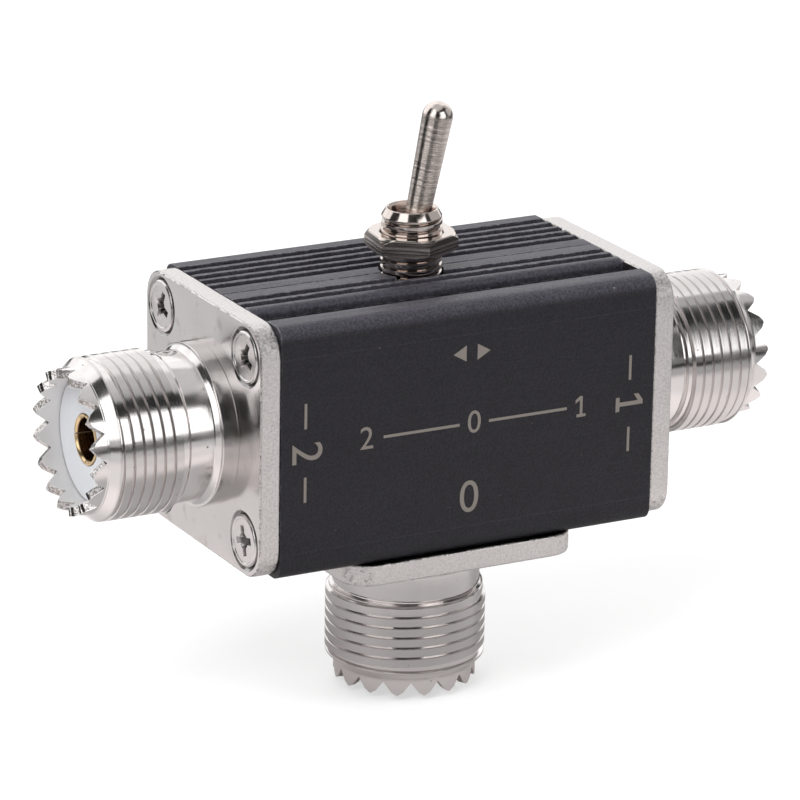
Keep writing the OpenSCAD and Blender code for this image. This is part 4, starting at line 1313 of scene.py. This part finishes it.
class SWITCH_OT_marks(bpy.types.Operator):
    """Plain port numbers and the lines that join them, printed on the front"""

    bl_idname = "switch.marks"
    bl_label = "Port numbers"

    def execute(self, context):
        large, small, middle = 4.6, 3.2, 0.45
        parts = []
        for text, x in (("2", -17.7), ("1", 17.6)):
            parts.append(number(text, large, x, 0, -QUARTER_TURN))
            for turn in (-QUARTER_TURN, QUARTER_TURN):
                parts.append(placed(bar(2.4, 4.9, 0), x, 0, turn))
        for text, x in (("2", -11.2), ("0", 0.4), ("1", 12.2)):
            parts.append(number(text, small, x, middle))
        parts += [bar(-9.4, -1.2, middle), bar(2.0, 10.6, middle), number("0", large, 0, -7.1)]
        for side in (-1, 1):
            parts.append(flat_shape([(side * 0.6, 6.75), (side * 2.0, 7.55), (side * 0.6, 8.35)]))
        mesh = paint(cleaned(joined("marks", parts), 1e-5), FINISHES["printed_mark"])
        face = (Matrix.Translation((0, CASE_FRONT, AXIS_HEIGHT))
                @ Matrix.Rotation(QUARTER_TURN, 4, "X") @ OWN_MM)
        finish_piece("port_numbers", mesh, face, "case", [], 30)
        return {"FINISHED"}


# ---------------------------------------------------------------- stage

CAMERA_PLACE = Vector((-0.216058, -0.39777, 0.176859))
CAMERA_AIM = Vector((0.4522, 0.8361, -0.3106))
CAMERA_ROLL = math.radians(0.983)
CAMERA_SETTINGS = {
    "lens": 219.386, "sensor_width": 36, "shift_x": -0.0004, "shift_y": -0.0082,
    "clip_start": 0.01, "clip_end": 50,
}


def looking(place, aim):
    """Matrix of a camera or lamp at a place that looks along aim."""
    return Matrix.Translation(place) @ aim.to_track_quat("-Z", "Y").to_matrix().to_4x4()


def add_camera():
    data = bpy.data.cameras.new("camera")
    for name, value in CAMERA_SETTINGS.items():
        setattr(data, name, value)
    camera = shown("camera", data)
    camera.matrix_world = looking(CAMERA_PLACE, CAMERA_AIM) @ Matrix.Rotation(CAMERA_ROLL, 4, "Z")
    bpy.context.scene.camera = camera


# Soft lamps that reflections don't see: place and size in metres, power in watts
LAMPS = (
    ("key", Vector((-0.5, -0.35, 0.75)), 0.5, 7),
    ("fill", Vector((0.7, -0.5, 0.5)), 0.5, 3),
    ("back", Vector((0.1, 0.8, 0.7)), 0.7, 5),
)
LAMP_AIM = Vector((0, 0, 0.03))


def add_lamp(name, place, size, power):
    data = bpy.data.lights.new(name, "AREA")
    data.energy = power
    data.size = size
    lamp = shown(name, data)
    lamp.visible_glossy = False
    lamp.matrix_world = looking(place, LAMP_AIM - place)


def bare_material(name):
    """Material without a shader: itself, its Graph and the socket of its surface."""
    material = bpy.data.materials.new(name)
    material.use_nodes = True
    graph = Graph(material.node_tree)
    graph.tree.nodes.remove(graph.tree.nodes["Principled BSDF"])
    return material, graph, graph.tree.nodes["Material Output"].inputs["Surface"]


# Painted reflection of the studio: how bright the far floor looks to polished metal, by azimuth from +X in
# degrees
FLOOR_TONES = (
    (-180, 0.78), (-140, 0.78), (-132, 0.5), (-97, 0.5), (-91, 0.7), (-58, 0.7), (-53, 0.5),
    (-38, 0.5), (-30, 0.85), (60, 0.85), (126, 0.85), (138, 0.05), (174, 0.05), (180, 0.78),
)


def studio_tones(graph, place):
    """Painted reflection tones of the far floor by direction, as a colour."""
    parts = graph.split(place)
    turn = graph.math("ARCTAN2", parts["Y"], parts["X"])
    studio = graph.add("ShaderNodeValToRGB", {"Fac": graph.times(turn, 1 / FULL_TURN, 0.5)})
    stops = studio.color_ramp.elements
    studio.color_ramp.interpolation = "EASE"
    while len(stops) < len(FLOOR_TONES):
        stops.new(0.5)
    for stop, (azimuth, bright) in zip(stops, FLOOR_TONES):
        stop.position = azimuth / 360 + 0.5
        stop.color = (bright, bright, bright, 1)
    return studio.outputs["Color"]


def floor_material(values):
    """Pale floor that shows as white but keeps the object's shadow; mirrored rays see it glow with painted
    reflection tones, darker near and under the object as painted shade.
    """
    material, graph, surface = bare_material("pale_floor")
    path = graph.add("ShaderNodeLightPath").outputs
    place = graph.add("ShaderNodeTexCoord").outputs["Object"]
    mirrored, reach = path["Is Glossy Ray"], graph.vector("LENGTH", place)
    # Painted reflection: near the object mirrored rays see a glow in rings, dim close to it as painted shade,
    # and beyond them the painted tones of the studio
    outer = graph.ramp(reach, 0.10, 0.14)
    near = graph.minus(1.0, outer)
    close = graph.plus(graph.ramp(reach, 0.034, 0.046, 0.08, 0.42),
                       graph.ramp(reach, 0.012, 0.02, 0.1, 0.0))
    close = graph.minus(close, graph.ramp(reach, 0.052, 0.066, 0.0, 0.2))
    beyond = graph.times(studio_tones(graph, place), graph.ramp(reach, 0.26, 0.34, 1.0, 0.05))
    seen = graph.times(close, near, graph.times(beyond, outer))
    # Painted shade: to mirrored rays the matt floor is a fifth darker under the object, and black beyond the
    # near rings, where the glow takes over
    under = graph.ramp(reach, 0.034, 0.044, 0.2, 0.0)
    hidden = graph.times(mirrored, graph.most(outer, under))
    tone = graph.blend(graph.noise(place, 40.0), darker(values, 0.5), darker(values, 0.52))
    matt = graph.add("ShaderNodeBsdfDiffuse", {"Color": graph.blend(hidden, tone, (0, 0, 0))})
    # Painted reflection: the glow that mirrored rays see near the object is warm
    warm = graph.blend(graph.times(mirrored, near), tuple(values), (0.97, 0.84, 0.82))
    glow = graph.add("ShaderNodeEmission", {
        "Color": warm,
        "Strength": graph.times(path["Is Camera Ray"], 0.62, graph.times(mirrored, seen))})
    both = graph.add("ShaderNodeAddShader", {0: matt.outputs[0], 1: glow.outputs[0]})
    graph.feed(surface, both.outputs[0])
    return material


# Softboxes and dark cloths of the studio that polished metal mirrors, with dark sheets as
# painted shade for the camera's shadow and an unlit gap, on a dome round the object:
# azimuths from +X and elevations in degrees, and how brightly each one shows
PANELS = (
    ("left_softbox", (-178, -136), (8, 62), 1.7),
    ("right_softbox", (-93, -55), (8, 41), 1.9),
    # Painted shade: a dark sheet for the unlit gap above the right softbox
    ("dark_gap", (-93, -8), (42, 60), 0.03),
    ("dark_horizon", (-93, -20), (-0.5, 8), 0.2),
    ("right_cloth", (-54, -35), (8, 41), 0.05),
    # Painted shade: a dark sheet for the camera's shadow
    ("camera_shadow", (-136, -93), (-0.5, 52), 0.04),
    ("left_cloth", (145, 182), (-0.5, 56), 0.04),
    ("back_drop", (20, 145), (3, 62), 1.3),
    ("ceiling", (-180, 180), (62, 90), 0.65),
)
DOME_RADIUS = 1.5


def add_panel(name, azimuths, elevations, bright):
    """Part of the dome that only reflections see, with a soft uneven glow."""
    material, graph, surface = bare_material(name)
    cloth = graph.noise(graph.add("ShaderNodeTexCoord").outputs["Object"], 2.0)
    glow = graph.add("ShaderNodeEmission", {
        "Strength": graph.ramp(cloth, 0.3, 0.7, bright * 0.85, bright * 1.1)})
    graph.feed(surface, glow.outputs[0])
    columns, rows = 24, 8
    vertices, faces = [], []
    for row in range(rows + 1):
        rise = math.radians(elevations[0] + (elevations[1] - elevations[0]) * row / rows)
        for column in range(columns + 1):
            turn = math.radians(azimuths[0] + (azimuths[1] - azimuths[0]) * column / columns)
            vertices.append((DOME_RADIUS * math.cos(rise) * math.cos(turn),
                             DOME_RADIUS * math.cos(rise) * math.sin(turn),
                             DOME_RADIUS * math.sin(rise)))
            if row < rows and column < columns:
                low = row * (columns + 1) + column
                faces.append((low, low + 1, low + columns + 2, low + columns + 1))
    panel = shown(name, paint(mesh_of(name, vertices, faces), material))
    panel.visible_camera = False
    panel.visible_shadow = False
    panel.visible_diffuse = False


class SWITCH_OT_stage(bpy.types.Operator):
    """Pale floor, soft lamps, panels that only show in reflections, and the camera"""

    bl_idname = "switch.stage"
    bl_label = "Stage"

    def execute(self, context):
        scene = context.scene
        scene.view_settings.view_transform = "Standard"
        scene.world = bpy.data.worlds.new("studio")
        scene.world.use_nodes = True
        back = scene.world.node_tree.nodes["Background"]
        back.inputs["Color"].default_value = (1, 1, 1, 1)
        back.inputs["Strength"].default_value = 0.55
        floor_r, floor_top, floor_bottom = 3, -0.0006, -0.02
        disc = turned("floor", [(0, floor_bottom), (floor_r, floor_bottom), (floor_r, floor_top),
                                (0, floor_top)])
        shown("floor", paint(disc, floor_material(scene.finish_settings.floor)))
        for panel in PANELS:
            add_panel(*panel)
        for lamp in LAMPS:
            add_lamp(*lamp)
        add_camera()
        return {"FINISHED"}


# ---------------------------------------------------------------- panel

SETTINGS = {
    "socket_settings": SocketSettings,
    "toggle_settings": ToggleSettings,
    "finish_settings": FinishSettings,
}
OPERATORS = [
    SWITCH_OT_case, SWITCH_OT_sockets, SWITCH_OT_screws, SWITCH_OT_insulators,
    SWITCH_OT_contacts, SWITCH_OT_bushing, SWITCH_OT_nut, SWITCH_OT_lever, SWITCH_OT_spring,
    SWITCH_OT_inner_pieces, SWITCH_OT_marks, SWITCH_OT_stage,
]


class SWITCH_PT_pieces(bpy.types.Panel):
    bl_label = "Antenna switch"
    bl_idname = "SWITCH_PT_pieces"
    bl_space_type = "VIEW_3D"
    bl_region_type = "UI"
    bl_category = "Switch"

    def draw(self, context):
        for name, settings in SETTINGS.items():
            box = self.layout.box()
            for field in settings.__annotations__:
                box.prop(getattr(context.scene, name), field)
        for operator in OPERATORS:
            self.layout.operator(operator.bl_idname)


CLASSES = [*SETTINGS.values(), *OPERATORS, SWITCH_PT_pieces]


def register():
    for kind in CLASSES:
        bpy.utils.register_class(kind)
    for name, settings in SETTINGS.items():
        setattr(bpy.types.Scene, name, PointerProperty(type=settings))


def unregister():
    for name in SETTINGS:
        delattr(bpy.types.Scene, name)
    for kind in reversed(CLASSES):
        bpy.utils.unregister_class(kind)


def main():
    register()
    FINISHES.update(build_materials(bpy.context.scene))
    make_thread_tree()
    make_ring_tree()
    make_corner_tree()
    make_coil_tree()
    for operator in OPERATORS:
        group, name = operator.bl_idname.split(".")
        getattr(getattr(bpy.ops, group), name)()


if __name__ == "__main__":
    main()
